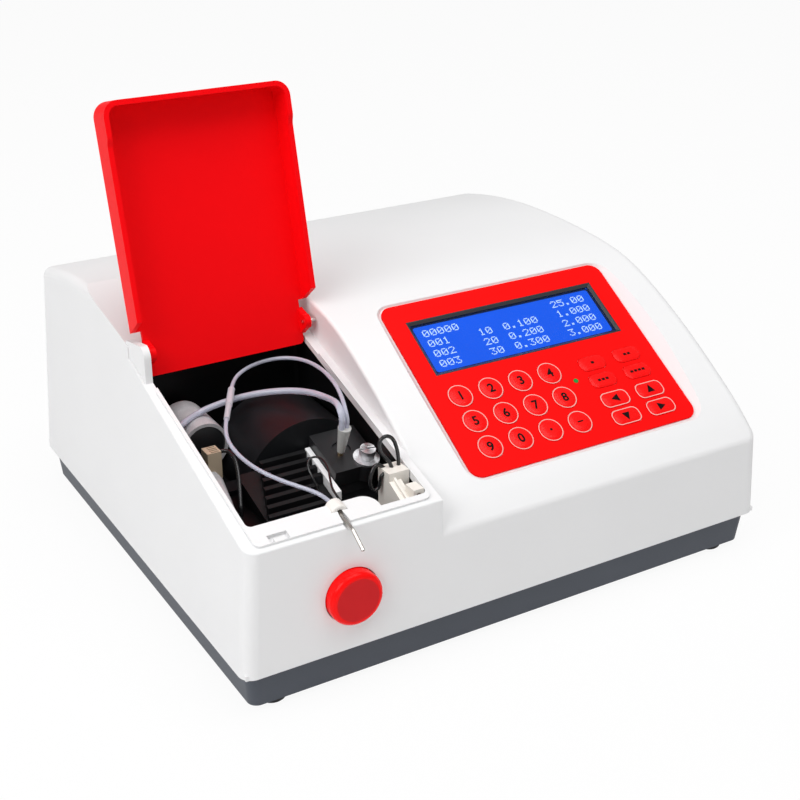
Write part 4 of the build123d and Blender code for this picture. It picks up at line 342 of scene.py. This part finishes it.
wire_black = sleeve("wire_black", (0.010, 0.010, 0.011), 0.14)
lamp_sleeve = sleeve("lamp_sleeve", (0.46, 0.46, 0.48), 0.25)
print("wire finishes ready")


# %% Milky silicone
def silicone(name, colour, roughness, clear):
    """Milky rubber: part of the light goes through, and the body is cloudy and a little blue."""
    finish = Finish(name, colour, roughness, Transmission_Weight=clear, IOR=1.41, Coat_Weight=0.3)
    cloud = finish.noise(3, 3)
    darker = tuple(c * 0.86 for c in colour)
    finish.set(Base_Color=finish.mix(cloud, darker, colour))
    finish.set(Roughness=roughness + (cloud - 0.5) * 0.1)
    finish.bump(cloud, 0.02)
    return finish.material


tube_milky = silicone("tube_milky", (0.82, 0.84, 0.98), 0.08, 0.52)
union_milky = silicone("union_milky", (0.88, 0.90, 0.97), 0.20, 0.50)
sleeve_milky = silicone("sleeve_milky", (0.86, 0.86, 0.84), 0.22, 0.45)
print("silicone ready")


# %% Printed film and inks
def film(name, colour, roughness, depth=0.012, **constants):
    """The keypad's printed polyester film: satin, with a fine orange peel."""
    finish = Finish(name, colour, roughness, **constants)
    peel = finish.noise(1.1, 2)
    slow = finish.noise(45, 2)
    finish.set(Base_Color=finish.mix(slow, tuple(c * 0.95 for c in colour), colour))
    finish.set(Roughness=roughness + (peel - 0.5) * 0.1)
    finish.bump(peel, depth)
    return finish.material


panel_red = film("panel_red", (0.90, 0.003, 0.003), 0.42, Specular_IOR_Level=0.2, IOR=1.22)
key_red = film("key_red", (0.90, 0.003, 0.003), 0.26, depth=0.004, Specular_IOR_Level=0.35, IOR=1.3)
ink_pale = film("ink_pale", (0.88, 0.42, 0.38), 0.45)
ink_black = film("ink_black", (0.006, 0.003, 0.003), 0.5, Specular_IOR_Level=0.08)
display_black = film("display_black", (0.022, 0.023, 0.028), 0.24, Specular_IOR_Level=0.7)
board_green = film("board_green", (0.01, 0.12, 0.04), 0.4)
module_blue = film("module_blue", (0.01, 0.05, 0.30), 0.4)
print("films ready")

# %% [markdown]
# ## The display
# A character display glows: its blue comes from a lit panel behind the dots. The window in front is
# clear acrylic, which shows as a thin gloss. The blue gets a little of its own light, with the
# light panel's slight unevenness, and the pale dots a little more.


# %% Display finishes
def glow(name, colour, light, strength, drift=0.12):
    """A lit surface: its own light and its colour rise and fall slowly over it."""
    finish = Finish(name, colour, 0.5, Emission_Strength=strength, Specular_IOR_Level=0.1)
    slow = finish.noise(30, 2)
    finish.set(Base_Color=finish.mix(slow, tuple(c * (1 - drift) for c in colour), colour))
    finish.set(Emission_Color=finish.mix(slow, tuple(c * (1 - drift) for c in light), light))
    return finish.material


def window_finish():
    """Clear acrylic as a thin film: mostly see through, with gloss and faint dust."""
    finish = Finish("window_clear", (0.05, 0.12, 0.40), 0.06, Alpha=0.06)
    dust = finish.noise(2.0, 3).step(0.5, 0.9)
    finish.set(Roughness=dust * 0.12 + 0.05, Alpha=dust * 0.02 + 0.05)
    return finish.material


display_blue = glow("display_blue", (0.001, 0.03, 0.28), (0.0015, 0.095, 0.80), 0.85)
display_dots = glow("display_dots", (0.35, 0.50, 0.65), (0.50, 0.72, 0.98), 0.60)
border_blue = film("border_blue", (0.004, 0.008, 0.04), 0.4, Specular_IOR_Level=0.1)
led_green = glow("led_green", (0.01, 0.16, 0.03), (0.03, 0.50, 0.10), 0.30)
window_clear = window_finish()
print("display finishes ready")


# %% The sample button
def button_finish():
    """Glossy red with painted shade on its flat face, darker than its rounded rim, worked out from the radius."""
    low, high = (Vector(c) * 1000 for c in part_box("sample_button"))
    middle = (low + high) / 2
    finish = Finish("button_red", (0.93, 0.004, 0.005), 0.2, Specular_IOR_Level=0.12)
    across = finish.axis("X", middle)
    rise = finish.axis("Z", middle)
    radius = (across * across + rise * rise).math("SQRT")
    rim = radius.step(12.3, 13.4)
    slow = finish.noise(20, 2)
    # Painted shade: the flat face gets a darker red than the rounded rim, and the rim mask sets where it ends.
    face = finish.mix(slow, (0.56, 0.009, 0.012), (0.66, 0.011, 0.014))
    finish.set(Base_Color=finish.mix(rim, face, (0.95, 0.004, 0.004)))
    finish.set(Roughness=0.30 - rim * 0.1 + (slow - 0.5) * 0.06)
    finish.bump(finish.noise(1.6, 2), 0.012)
    return finish.material


button_red = button_finish()
print("button finish ready")

# %% [markdown]
# ## Dress the solids
# Each CAD node keeps its mesh and gets a finish in its material slots. A table of finish to nodes
# is easier to check than sixty assignments, and the nodes that are left without one are printed.

# %% Give each node its finish
KEYS = [name for name in nodes if name.startswith("key_")]
DRESS = [
    (case_white, ["top_cover"]),
    (guide_cream, ["needle_guide"]),
    (base_grey, ["base_tray"]),
    (foot_rubber, ["rubber_feet"]),
    (bay_black, ["bay_liner", "filter_wheel", "wheel_motor"]),
    (drum_black, ["filter_drum"]),
    (block_black, ["flow_cell_block"]),
    (sink_black, ["heat_sink"]),
    (pump_grey, ["pump_body", "pump_rotor"]),
    (lid_red, ["lid"]),
    (button_red, ["sample_button"]),
    (steel, ["case_screws", "hinge_pins"]),
    (spring_steel, ["button_spring"]),
    (needle_steel, ["sipper_needle"]),
    (cell_brass, ["flow_cell"]),
    (screw_steel, ["clamp_screw"]),
    (sleeve_milky, ["cell_sleeve"]),
    (union_milky, ["tube_union"]),
    (tube_milky, ["sample_tube_rear", "sample_tube_front", "waste_tube"]),
    (wire_black, ["connector_cable", "probe_wire", "interlock_wires"]),
    (lamp_sleeve, ["lamp_tube"]),
    (strip_white, ["probe_strip"]),
    (connector_beige, ["wire_connector"]),
    (bracket_cream, ["interlock_bracket"]),
    (outlet_white, ["waste_outlet"]),
    (inlet_black, ["power_inlet"]),
    (panel_red, ["keypad_panel"]),
    (key_red, KEYS),
    (display_black, ["display_frame"]),
    (window_clear, ["display_window"]),
    (module_blue, ["display_module"]),
    (board_green, ["main_board"]),
    (led_green, ["status_led"]),
]
for finish, names in DRESS:
    for name in names:
        for slot in nodes[name].material_slots:
            slot.link = "OBJECT"
            slot.material = finish
dressed = {name for _, names in DRESS for name in names}
print("dressed", len(dressed), "left", sorted(set(nodes) - dressed))

# %% [markdown]
# ## Surfaces from grids
# Every new solid piece is a grid of points worked out at once with numpy: rows of a shape that
# changes from one end to the other. Each square of the grid becomes one face. A row that shrinks to
# one point is merged into a pole.


# %% Grid to mesh
def surface(name, points, closed_rows=False, closed_columns=True):
    """A mesh from points[row, column, xyz]: one face per square of the grid, poles merged."""
    rows, columns = points.shape[:2]
    row = np.arange(rows if closed_rows else rows - 1)[:, None]
    column = np.arange(columns if closed_columns else columns - 1)[None, :]
    next_row, next_column = (row + 1) % rows, (column + 1) % columns
    corners = [row * columns + column, row * columns + next_column]
    corners += [next_row * columns + next_column, next_row * columns + column]
    faces = np.stack(np.broadcast_arrays(*corners), -1).reshape(-1, 4)
    mesh = bpy.data.meshes.new(name)
    mesh.from_pydata(points.reshape(-1, 3).tolist(), [], faces.tolist())
    shaped = bmesh.new()
    shaped.from_mesh(mesh)
    bmesh.ops.remove_doubles(shaped, verts=shaped.verts, dist=1e-7)
    bmesh.ops.recalc_face_normals(shaped, faces=shaped.faces)
    shaped.to_mesh(mesh)
    shaped.free()
    mesh.polygons.foreach_set("use_smooth", np.ones(len(mesh.polygons), bool))
    return mesh


def place(name, mesh, body, finish):
    """Puts a mesh in the scene as a piece of the object, riding on a body."""
    piece = bpy.data.objects.new(name, mesh)
    bpy.context.scene.collection.objects.link(piece)
    mesh.materials.clear()
    mesh.materials.append(finish)
    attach(piece, body)
    return piece


print("grid helpers ready")

# %% [markdown]
# ## Tubes and wires
# A soft tube takes the smoothest line between its ends. It is a NURBS curve whose control points are
# the route that the CAD tube follows, so it swings gently where the solid has arcs. The order is set
# after the points, because a curve with too few points drops to straight runs. Each one stands for
# its CAD solid.

# %% Lay the cords
UNION_REAR = (-121.5, -30.8, 130.5)
UNION_FRONT = (-136.3, -55.9, 125.0)
SAMPLE_REAR_ROUTE = [
    (-82.5, -100.84, 125.35),
    (-82.6, -101.85, 128.8),
    (-82.8, -101.4, 132.4),
    (-82.4, -99.0, 135.4),
    (-81.2, -95.0, 137.2),
    (-79.0, -88.6, 138.2),
    (-75.6, -78.0, 138.6),
    (-72.0, -63.6, 138.4),
    (-69.8, -47.4, 138.0),
    (-70.8, -31.6, 137.6),
    (-76.4, -20.0, 137.0),
    (-85.4, -13.8, 136.0),
    (-96.4, -12.4, 134.8),
    (-107.2, -15.8, 133.7),
    (-117.0, -23.2, 132.2),
    UNION_REAR,
]
SAMPLE_FRONT_ROUTE = [
    UNION_FRONT,
    (-139.79, -61.83, 123.7),
    (-143.4, -71.6, 121.0),
    (-144.0, -81.0, 118.6),
    (-142.6, -91.8, 116.2),
    (-139.0, -103.3, 114.0),
    (-132.8, -115.0, 112.0),
    (-125.6, -123.6, 110.0),
    (-119.4, -130.4, 108.2),
    (-116.0, -138.0, 106.75),
    (-116.0, -142.8, 105.94),
]
WASTE_ROUTE = [
    (-86.0, -100.84, 125.35),
    (-86.0, -102.0, 129.3),
    (-86.0, -101.6, 133.2),
    (-85.8, -99.2, 136.2),
    (-85.2, -95.6, 137.6),
    (-84.4, -90.6, 137.4),
    (-83.2, -83.6, 135.8),
    (-82.6, -75.0, 133.9),
    (-84.2, -63.6, 132.4),
    (-90.2, -52.0, 130.8),
    (-100.2, -42.2, 128.8),
    (-112.6, -35.0, 126.4),
    (-126.4, -31.2, 123.8),
    (-140.4, -31.6, 121.8),
    (-152.6, -36.2, 120.4),
    (-161.2, -42.4, 119.4),
    (-167.4, -42.4, 119.4),
]
CONNECTOR_ROUTE = [
    (-146.4, -62.6, 109.6),
    (-142.4, -62.6, 109.6),
    (-139.8, -66.0, 109.6),
    (-139.4, -72.8, 107.4),
    (-141.6, -81.0, 102.4),
    (-144.6, -88.6, 96.8),
    (-147.0, -94.2, 91.6),
    (-148.0, -96.6, 89.2),
    (-148.0, -96.6, 85.0),
]
PROBE_ROUTE = [
    (-109.4, -147.0, 104.8),
    (-110.2, -135.6, 106.8),
    (-106.0, -123.6, 108.6),
    (-101.8, -114.4, 109.8),
    (-100.0, -105.4, 111.0),
    (-101.6, -99.4, 111.4),
    (-106.4, -98.6, 110.6),
    (-109.4, -103.0, 108.0),
    (-108.8, -108.6, 103.4),
    (-107.6, -111.0, 98.4),
    (-107.5, -111.3, 94.9),
]
INTERLOCK_ROUTE_A = [
    (-71.5, -131.6, 107.0),
    (-71.5, -131.6, 112.4),
    (-74.2, -130.4, 116.0),
    (-77.0, -129.4, 119.7),
    (-78.2, -128.8, 123.9),
    (-77.0, -128.6, 127.7),
    (-74.2, -128.6, 129.4),
    (-70.9, -128.8, 128.6),
    (-68.6, -129.2, 125.7),
    (-67.4, -129.8, 121.7),
    (-66.8, -130.6, 117.0),
    (-66.8, -131.2, 112.6),
    (-66.8, -131.2, 107.0),
]
INTERLOCK_ROUTE_B = [
    (-73.4, -128.6, 108.6),
    (-76.4, -128.8, 111.6),
    (-79.0, -129.1, 113.4),
    (-81.6, -129.6, 112.8),
    (-83.6, -130.2, 109.8),
    (-84.9, -130.7, 105.8),
    (-85.0, -131.0, 102.4),
    (-82.9, -131.4, 98.4),
    (-79.7, -131.7, 100.2),
    (-79.0, -132.0, 104.2),
    (-78.8, -132.3, 107.2),
    (-76.8, -132.6, 109.0),
    (-74.0, -132.8, 109.2),
]


def cord(name, route, diameter, finish, node):
    """A round cord along a smooth curve steered by the route's points, all in millimetres."""
    line = bpy.data.curves.new(name, "CURVE")
    line.dimensions = "3D"
    line.bevel_depth = diameter / 2 * MM
    line.bevel_resolution = 5
    line.resolution_u = 10
    line.use_fill_caps = True
    spline = line.splines.new("NURBS")
    spline.points.add(len(route) - 1)
    points = np.ones((len(route), 4))
    points[:, :3] = np.array(route) * MM
    spline.points.foreach_set("co", points.ravel())
    spline.order_u = 3
    spline.use_endpoint_u = True
    piece = bpy.data.objects.new(name, line)
    bpy.context.scene.collection.objects.link(piece)
    line.materials.append(finish)
    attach(piece, "case")
    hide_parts(node)
    print(name, "points", len(route))
    return piece


cord("sample_rear", SAMPLE_REAR_ROUTE, 2.4, tube_milky, "sample_tube_rear")
cord("sample_front", SAMPLE_FRONT_ROUTE, 2.4, tube_milky, "sample_tube_front")
cord("waste_line", WASTE_ROUTE, 3.8, tube_milky, "waste_tube")
cord("plug_lead", CONNECTOR_ROUTE, 2.4, wire_black, "connector_cable")
cord("probe_lead", PROBE_ROUTE, 1.3, wire_black, "probe_wire")
cord("interlock_upper", INTERLOCK_ROUTE_A, 2.2, wire_black, "interlock_wires")
cord("interlock_lower", INTERLOCK_ROUTE_B, 2.2, wire_black, "interlock_wires")

# %% [markdown]
# ## The keypad's plane
# The keypad lies on a slope. Everything on it is drawn flat, in millimetres across and up the panel,
# and then carried onto the slope by one function, which also takes the height above the film.

# %% Panel coordinates
PANEL_ANGLE = math.radians(31.0)
PANEL_DATUM_Y = -104.7
PANEL_DATUM_Z = 120.5


def on_panel(across, up, lift):
    """Points on the panel's slope in metres, from arrays of millimetres across, up and above it."""
    across, up, lift = np.broadcast_arrays(across, up, lift)
    y = PANEL_DATUM_Y + up * math.cos(PANEL_ANGLE) - lift * math.sin(PANEL_ANGLE)
    z = PANEL_DATUM_Z + up * math.sin(PANEL_ANGLE) + lift * math.cos(PANEL_ANGLE)
    return np.stack([across, y, z], -1) * MM


def key_places():
    """Each key's name with its centre on the panel and the half width, half height and corner."""
    digits = ["1", "2", "3", "4", "5", "6", "7", "8", "9", "0", "point", "minus"]
    places = {}
    for index, digit in enumerate(digits):
        column, row = index % 4, index // 4
        places["key_" + digit] = (-4.3 + column * 21.65, 8.3 - row * 18.95, 8.0, 8.0, 8.0)
    oblong = [("function_1", 0, 0), ("function_2", 1, 0), ("function_3", 0, 1), ("function_4", 1, 1)]
    arrows = [("left", 0, 0), ("up", 1, 0), ("down", 0, 1), ("right", 1, 1)]
    for name, column, row in oblong:
        places["key_" + name] = ((93.4, 120.5)[column], (8.0, -5.5)[row], 9.8, 5.2, 4.4)
    for name, column, row in arrows:
        places["key_" + name] = ((93.4, 120.5)[column], (-20.6, -34.2)[row], 10.3, 5.6, 4.4)
    return places


PLACES = key_places()
print("keys placed", len(PLACES))

# %% [markdown]
# ## Domes and rings on the keys
# A membrane key is a low dome pressed into the film, with a pale ring printed round it. The outline
# of any key is a rectangle with round corners, and a circle is the case where the corner is as large
# as the key. The dome's height falls off with the fourth power of the distance from the middle, so
# it is flat on top and steep at its edge. The ring is a flat bead of ink with an oval section.


# %% Domes and rings
def outline(half_width, half_height, corner, steps=64):
    """Points round a rectangle with round corners: corner centres plus a turning radius."""
    angle = (np.arange(steps) + 0.5) * 2 * np.pi / steps
    across = np.cos(angle) * corner + np.sign(np.cos(angle)) * (half_width - corner)
    up = np.sin(angle) * corner + np.sign(np.sin(angle)) * (half_height - corner)
    return across, up


def dome(name, centre, half_width, half_height, corner, rise, base=0.41):
    """A low dome: lift = base + rise * (1 - t**4), where t runs from the middle to the outline."""
    across, up = outline(half_width, half_height, corner)
    share = np.linspace(0, 1, 13)[:, None]
    lift = base + rise * (1 - share**4)
    return surface(name, on_panel(centre[0] + share * across, centre[1] + share * up, lift))


def ring(name, centre, half_width, half_height, corner, width, base=0.42, rise=0.07):
    """A bead of ink round an outline: its section is an oval, width wide and 2 * rise high."""
    turn = np.linspace(0, 2 * np.pi, 9)[:-1][:, None]
    inset = width / 2 * (1 - np.cos(turn))
    outer_across, outer_up = outline(half_width, half_height, corner)
    scale_across = 1 - inset / half_width
    scale_up = 1 - inset / half_height
    lift = base + rise * np.sin(turn)
    points = on_panel(centre[0] + outer_across * scale_across, centre[1] + outer_up * scale_up, lift)
    return surface(name, points, closed_rows=True)


for key, (x, v, half_width, half_height, corner) in PLACES.items():
    round_key = half_width == corner
    inset = 1.25 if round_key or "function" not in key else 0.5
    rise = 0.55 if round_key else 0.45
    sizes = (half_width - inset, half_height - inset, corner - inset)
    place(key + "_dome", dome(key + "_dome", (x, v), *sizes, rise), key, key_red)
    if "function" not in key:
        sizes = (half_width - 0.1, half_height - 0.1, corner - 0.1)
        place(key + "_ring", ring(key + "_ring", (x, v), *sizes, 0.6), key, ink_pale)
print("domes", len(PLACES))

# %% [markdown]
# ## Signs on the keys
# The keys carry plain digits and arrows. A text object gives the digits: it is turned into a mesh,
# and its points are then carried onto the slope just above the dome. The arrows are triangles, and
# the oblong keys have plain bars instead of words. Each sign is a thin slab of ink with a wall
# round it.


# %% Signs
def slab(name, across, up, lift, thickness=0.05):
    """A thin closed slab over an outline of points: a lower and an upper row, each closed to its middle."""
    across, up = np.array(across, float), np.array(up, float)
    middle = np.array([across.mean(), up.mean()])
    rows = [(0, 0), (1, 0), (1, thickness), (0, thickness)]
    share = np.array([r[0] for r in rows])[:, None]
    height = np.array([r[1] for r in rows])[:, None]
    points = on_panel(middle[0] + share * (across - middle[0]), middle[1] + share * (up - middle[1]), lift + height)
    mesh = surface(name, points)
    mesh.polygons.foreach_set("use_smooth", np.zeros(len(mesh.polygons), bool))
    return mesh


def glyph(name, text, centre, size, lift):
    """A character as a mesh on the panel: a text object's own mesh, carried point by point."""
    words = bpy.data.curves.new(name, "FONT")
    words.body = text
    words.size = size
    words.align_x = "CENTER"
    words.align_y = "CENTER"
    words.extrude = 0.03
    words.offset = 0.022 * size
    carrier = bpy.data.objects.new(name, words)
    mesh = bpy.data.meshes.new_from_object(carrier)
    flat = np.empty(len(mesh.vertices) * 3)
    mesh.vertices.foreach_get("co", flat)
    flat = flat.reshape(-1, 3)
    across_middle = (flat[:, 0].min() + flat[:, 0].max()) / 2
    up_middle = (flat[:, 1].min() + flat[:, 1].max()) / 2
    spots = on_panel(centre[0] + flat[:, 0] - across_middle, centre[1] + flat[:, 1] - up_middle, lift + flat[:, 2])
    mesh.vertices.foreach_set("co", spots.ravel())
    mesh.update()
    bpy.data.objects.remove(carrier)
    return mesh


SIGN_LIFT = 1.0
for digit in "0123456789":
    x, v = PLACES["key_" + digit][:2]
    mesh = glyph("digit_" + digit, digit, (x, v), 8.4, SIGN_LIFT)
    place("sign_" + digit, mesh, "key_" + digit, ink_black)

turn = np.linspace(0, 2 * np.pi, 17)[:-1]
x, v = PLACES["key_point"][:2]
place("sign_point", slab("sign_point", x + 0.8 * np.cos(turn), v + 0.8 * np.sin(turn), SIGN_LIFT), "key_point", ink_black)
x, v = PLACES["key_minus"][:2]
bar_across, bar_up = np.array([-1.9, 1.9, 1.9, -1.9]), np.array([-0.42, -0.42, 0.42, 0.42])
place("sign_minus", slab("sign_minus", x + bar_across, v + bar_up, SIGN_LIFT), "key_minus", ink_black)

ARROW_TURN = {"key_right": 0, "key_up": 90, "key_left": 180, "key_down": 270}
for key, degrees in ARROW_TURN.items():
    x, v = PLACES[key][:2]
    tip = np.radians(degrees) + np.array([0, 2.25, -2.25])
    reach = np.array([3.3, 3.5, 3.5])
    mesh = slab("sign_" + key[4:], x + reach * np.cos(tip), v + reach * np.sin(tip), SIGN_LIFT - 0.1)
    place("sign_" + key[4:], mesh, key, ink_black)

for index in range(4):
    key = f"key_function_{index + 1}"
    x, v = PLACES[key][:2]
    for bar in range(index + 1):
        shift = (bar - index / 2) * 3.0
        name = f"sign_function_{index + 1}_{bar + 1}"
        mesh = slab(name, x + shift + 0.55 * bar_across, v + 1.9 * bar_up, SIGN_LIFT - 0.1)
        place(name, mesh, key, ink_black)
print("signs on", len(PLACES), "keys")

# %% [markdown]
# ## The display's dots
# A character display writes with small squares: seven rows of five dots for each character. A few
# strings hold the digits' patterns. The rows of text become one large map of zeros and ones, and
# numpy finds the ones and makes a small square for each of them. The numbers are plain counting
# values.

# %% Display picture
DISPLAY_X = 58.4
DISPLAY_V = 46.8
WINDOW_WIDTH = 135.4
WINDOW_HEIGHT = 37.3
PICTURE_LIFT = -2.62
DOT_PATTERNS = {
    "0": "01110 10001 10011 10101 11001 10001 01110",
    "1": "00100 01100 00100 00100 00100 00100 01110",
    "2": "01110 10001 00001 00010 00100 01000 11111",
    "3": "11111 00010 00100 00010 00001 10001 01110",
    "4": "00010 00110 01010 10010 11111 00010 00010",
    "5": "11111 10000 11110 00001 00001 10001 01110",
    "6": "00110 01000 10000 11110 10001 10001 01110",
    "7": "11111 00001 00010 00100 01000 01000 01000",
    "8": "01110 10001 10001 01110 10001 10001 01110",
    "9": "01110 10001 10001 01111 00001 00010 01100",
    ".": "00000 00000 00000 00000 00000 01100 01100",
    " ": "00000 00000 00000 00000 00000 00000 00000",
}
DISPLAY_COLUMNS = (0, 6.9, 10.4, 18.2)
DISPLAY_ROWS = [
    ("00000", "", "", "25.00"),
    ("001", "10", "0.100", "1.000"),
    ("002", "20", "0.200", "2.000"),
    ("003", "30", "0.300", "3.000"),
]
DOT_ACROSS = 0.885
DOT_UP = 0.74
DOT_SIZE = 0.72
LETTER_DOTS = 6
LEFT_MARGIN = 6.0
ROW_PITCH = 7.9


def dot_map(text):
    """The dots of one row of text: seven rows, six columns for each character."""
    cells = [np.array([[int(c) for c in line] + [0] for line in DOT_PATTERNS[letter].split()]) for letter in text]
    return np.concatenate(cells, axis=1)


def display_picture():
    """All lit dots as one mesh: a square of four points for each."""
    squares = []
    for index, texts in enumerate(DISPLAY_ROWS):
        for column, text in zip(DISPLAY_COLUMNS, texts):
            if text:
                down, along = np.nonzero(dot_map(text))
                left = DISPLAY_X - WINDOW_WIDTH / 2 + LEFT_MARGIN
                x = left + (column * LETTER_DOTS + along + 0.5) * DOT_ACROSS
                v = DISPLAY_V + (1.5 - index) * ROW_PITCH + (3 - down) * DOT_UP
                corner = np.array([(-1, -1), (1, -1), (1, 1), (-1, 1)]) * DOT_SIZE / 2
                squares.append(on_panel(x[:, None] + corner[:, 0], v[:, None] + corner[:, 1], PICTURE_LIFT + 0.1))
    points = np.concatenate(squares).reshape(-1, 3)
    faces = np.arange(len(points)).reshape(-1, 4)
    mesh = bpy.data.meshes.new("display_text")
    mesh.from_pydata(points.tolist(), [], faces.tolist())
    return mesh


def display_back():
    """The lit blue sheet behind the dots, a flat grid."""
    across = DISPLAY_X + np.linspace(-0.5, 0.5, 9)[None, :] * WINDOW_WIDTH
    up = DISPLAY_V + np.linspace(-0.5, 0.5, 5)[:, None] * WINDOW_HEIGHT
    return surface("display_sheet", on_panel(across, up, PICTURE_LIFT), closed_columns=False)


place("display_sheet", display_back(), "case", display_blue)
place("display_text", display_picture(), "case", display_dots)
BORDER = (WINDOW_WIDTH / 2, WINDOW_HEIGHT / 2, 2.0)
place("display_border", ring("display_border", (DISPLAY_X, DISPLAY_V), *BORDER, 1.2, -2.5, 0.05), "case", border_blue)
print("display dots done")

# %% [markdown]
# ## The pump's cover
# The pump's open front is closed by a black disc with a rounded edge. It is a profile of a few
# points, carried once round the pump's axis, and it sits in the mouth of the housing.


# %% Pump cover
def turned(name, profile, middle, steps=48):
    """A profile of (radius, depth) points turned about a front-to-rear axis: x and z go round, y is the depth."""
    profile = np.array(profile)
    angle = np.linspace(0, 2 * np.pi, steps + 1)[:-1]
    x = middle[0] + profile[:, :1] * np.cos(angle)
    z = middle[2] + profile[:, :1] * np.sin(angle)
    y = middle[1] + profile[:, 1:] + 0 * angle
    return surface(name, np.stack([x, y, z], -1) * MM)


pump_low, pump_high = (Vector(c) * 1000 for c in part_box("pump_body"))
PUMP_R = (pump_high.x - pump_low.x) / 2
PUMP_MOUTH = ((pump_low.x + pump_high.x) / 2, pump_low.y, pump_high.z - PUMP_R)
COVER_R = PUMP_R - 2.05
COVER_PROFILE = [(0, 0.3), (COVER_R - 1.2, 0.3), (COVER_R - 0.3, 0.7), (COVER_R, 1.4), (COVER_R, 2.6), (0, 2.6)]
place("pump_cover", turned("pump_cover", COVER_PROFILE, PUMP_MOUTH), "case", block_black)
print("pump cover radius", round(COVER_R, 2))

# %% [markdown]
# ## Floor and light
# The photograph is a product shot on white: the ground is white and the shadows are soft. The floor
# is a plain pale disc. The camera sees it brighter than it lights the object, with part of its
# shadow kept. A large soft lamp stands at the left and above, because the case's left side and top
# are brighter than its front, and the sky fills the rest.


# %% Floor
def floor_finish():
    """Pale grey paper that the camera, and gloss and glass, see nearly white."""
    finish = Finish("floor_paper", (0.80, 0.80, 0.80), 0.9)
    speck = finish.noise(3, 2)
    finish.set(Base_Color=finish.mix(speck, (0.79, 0.79, 0.79), (0.81, 0.81, 0.81)))
    rays = [finish.node("ShaderNodeLightPath", {}, {}, kind) for kind in ("Is Camera Ray", "Is Glossy Ray", "Is Transmission Ray")]
    seen = (rays[0] + rays[1] + rays[2]).math("MINIMUM", 1.0)
    light = finish.node("ShaderNodeEmission", {}, {"Color": (1, 1, 1, 1), "Strength": 1.0})
    base = Signal(finish, finish.shader.outputs[0])
    both = finish.node("ShaderNodeMixShader", {}, {0: seen * 0.93, 1: base, 2: light})
    finish.tree.links.new(both.socket, finish.tree.nodes["Material Output"].inputs["Surface"])
    return finish.material


def floor_mesh(radius=9.0):
    """A flat disc: rings of points about the middle, at the height of the feet."""
    angle = np.linspace(0, 2 * np.pi, 49)[:-1][None, :]
    reach = radius * np.linspace(0, 1, 7)[:, None] ** 2
    points = np.stack(np.broadcast_arrays(reach * np.cos(angle), reach * np.sin(angle), 0.0 * reach), -1)
    return surface("floor", points)


floor = bpy.data.objects.new("floor", floor_mesh())
floor.data.materials.append(floor_finish())
bpy.context.scene.collection.objects.link(floor)
print("floor ready")


# %% Lamps and sky
def lamp(name, place_at, aim, size, power):
    """A square soft lamp that looks at a place."""
    light = bpy.data.lights.new(name, "AREA")
    light.size = size
    light.energy = power
    holder = bpy.data.objects.new(name, light)
    way = Vector(place_at) - Vector(aim)
    holder.matrix_world = Matrix.Translation(place_at) @ way.to_track_quat("Z", "Y").to_matrix().to_4x4()
    bpy.context.scene.collection.objects.link(holder)
    return holder


lamp("key_lamp", (-1.6, -0.5, 1.5), (0, 0, 0.1), 1.4, 24)
lamp("top_lamp", (0.2, -0.5, 2.15), (0, 0, 0.1), 1.6, 26)
sky = bpy.data.worlds.new("sky")
bpy.context.scene.world = sky
sky.use_nodes = True
sky.node_tree.nodes["Background"].inputs["Color"].default_value = (1, 1, 1, 1)
sky.node_tree.nodes["Background"].inputs["Strength"].default_value = 0.4
print("lights ready")
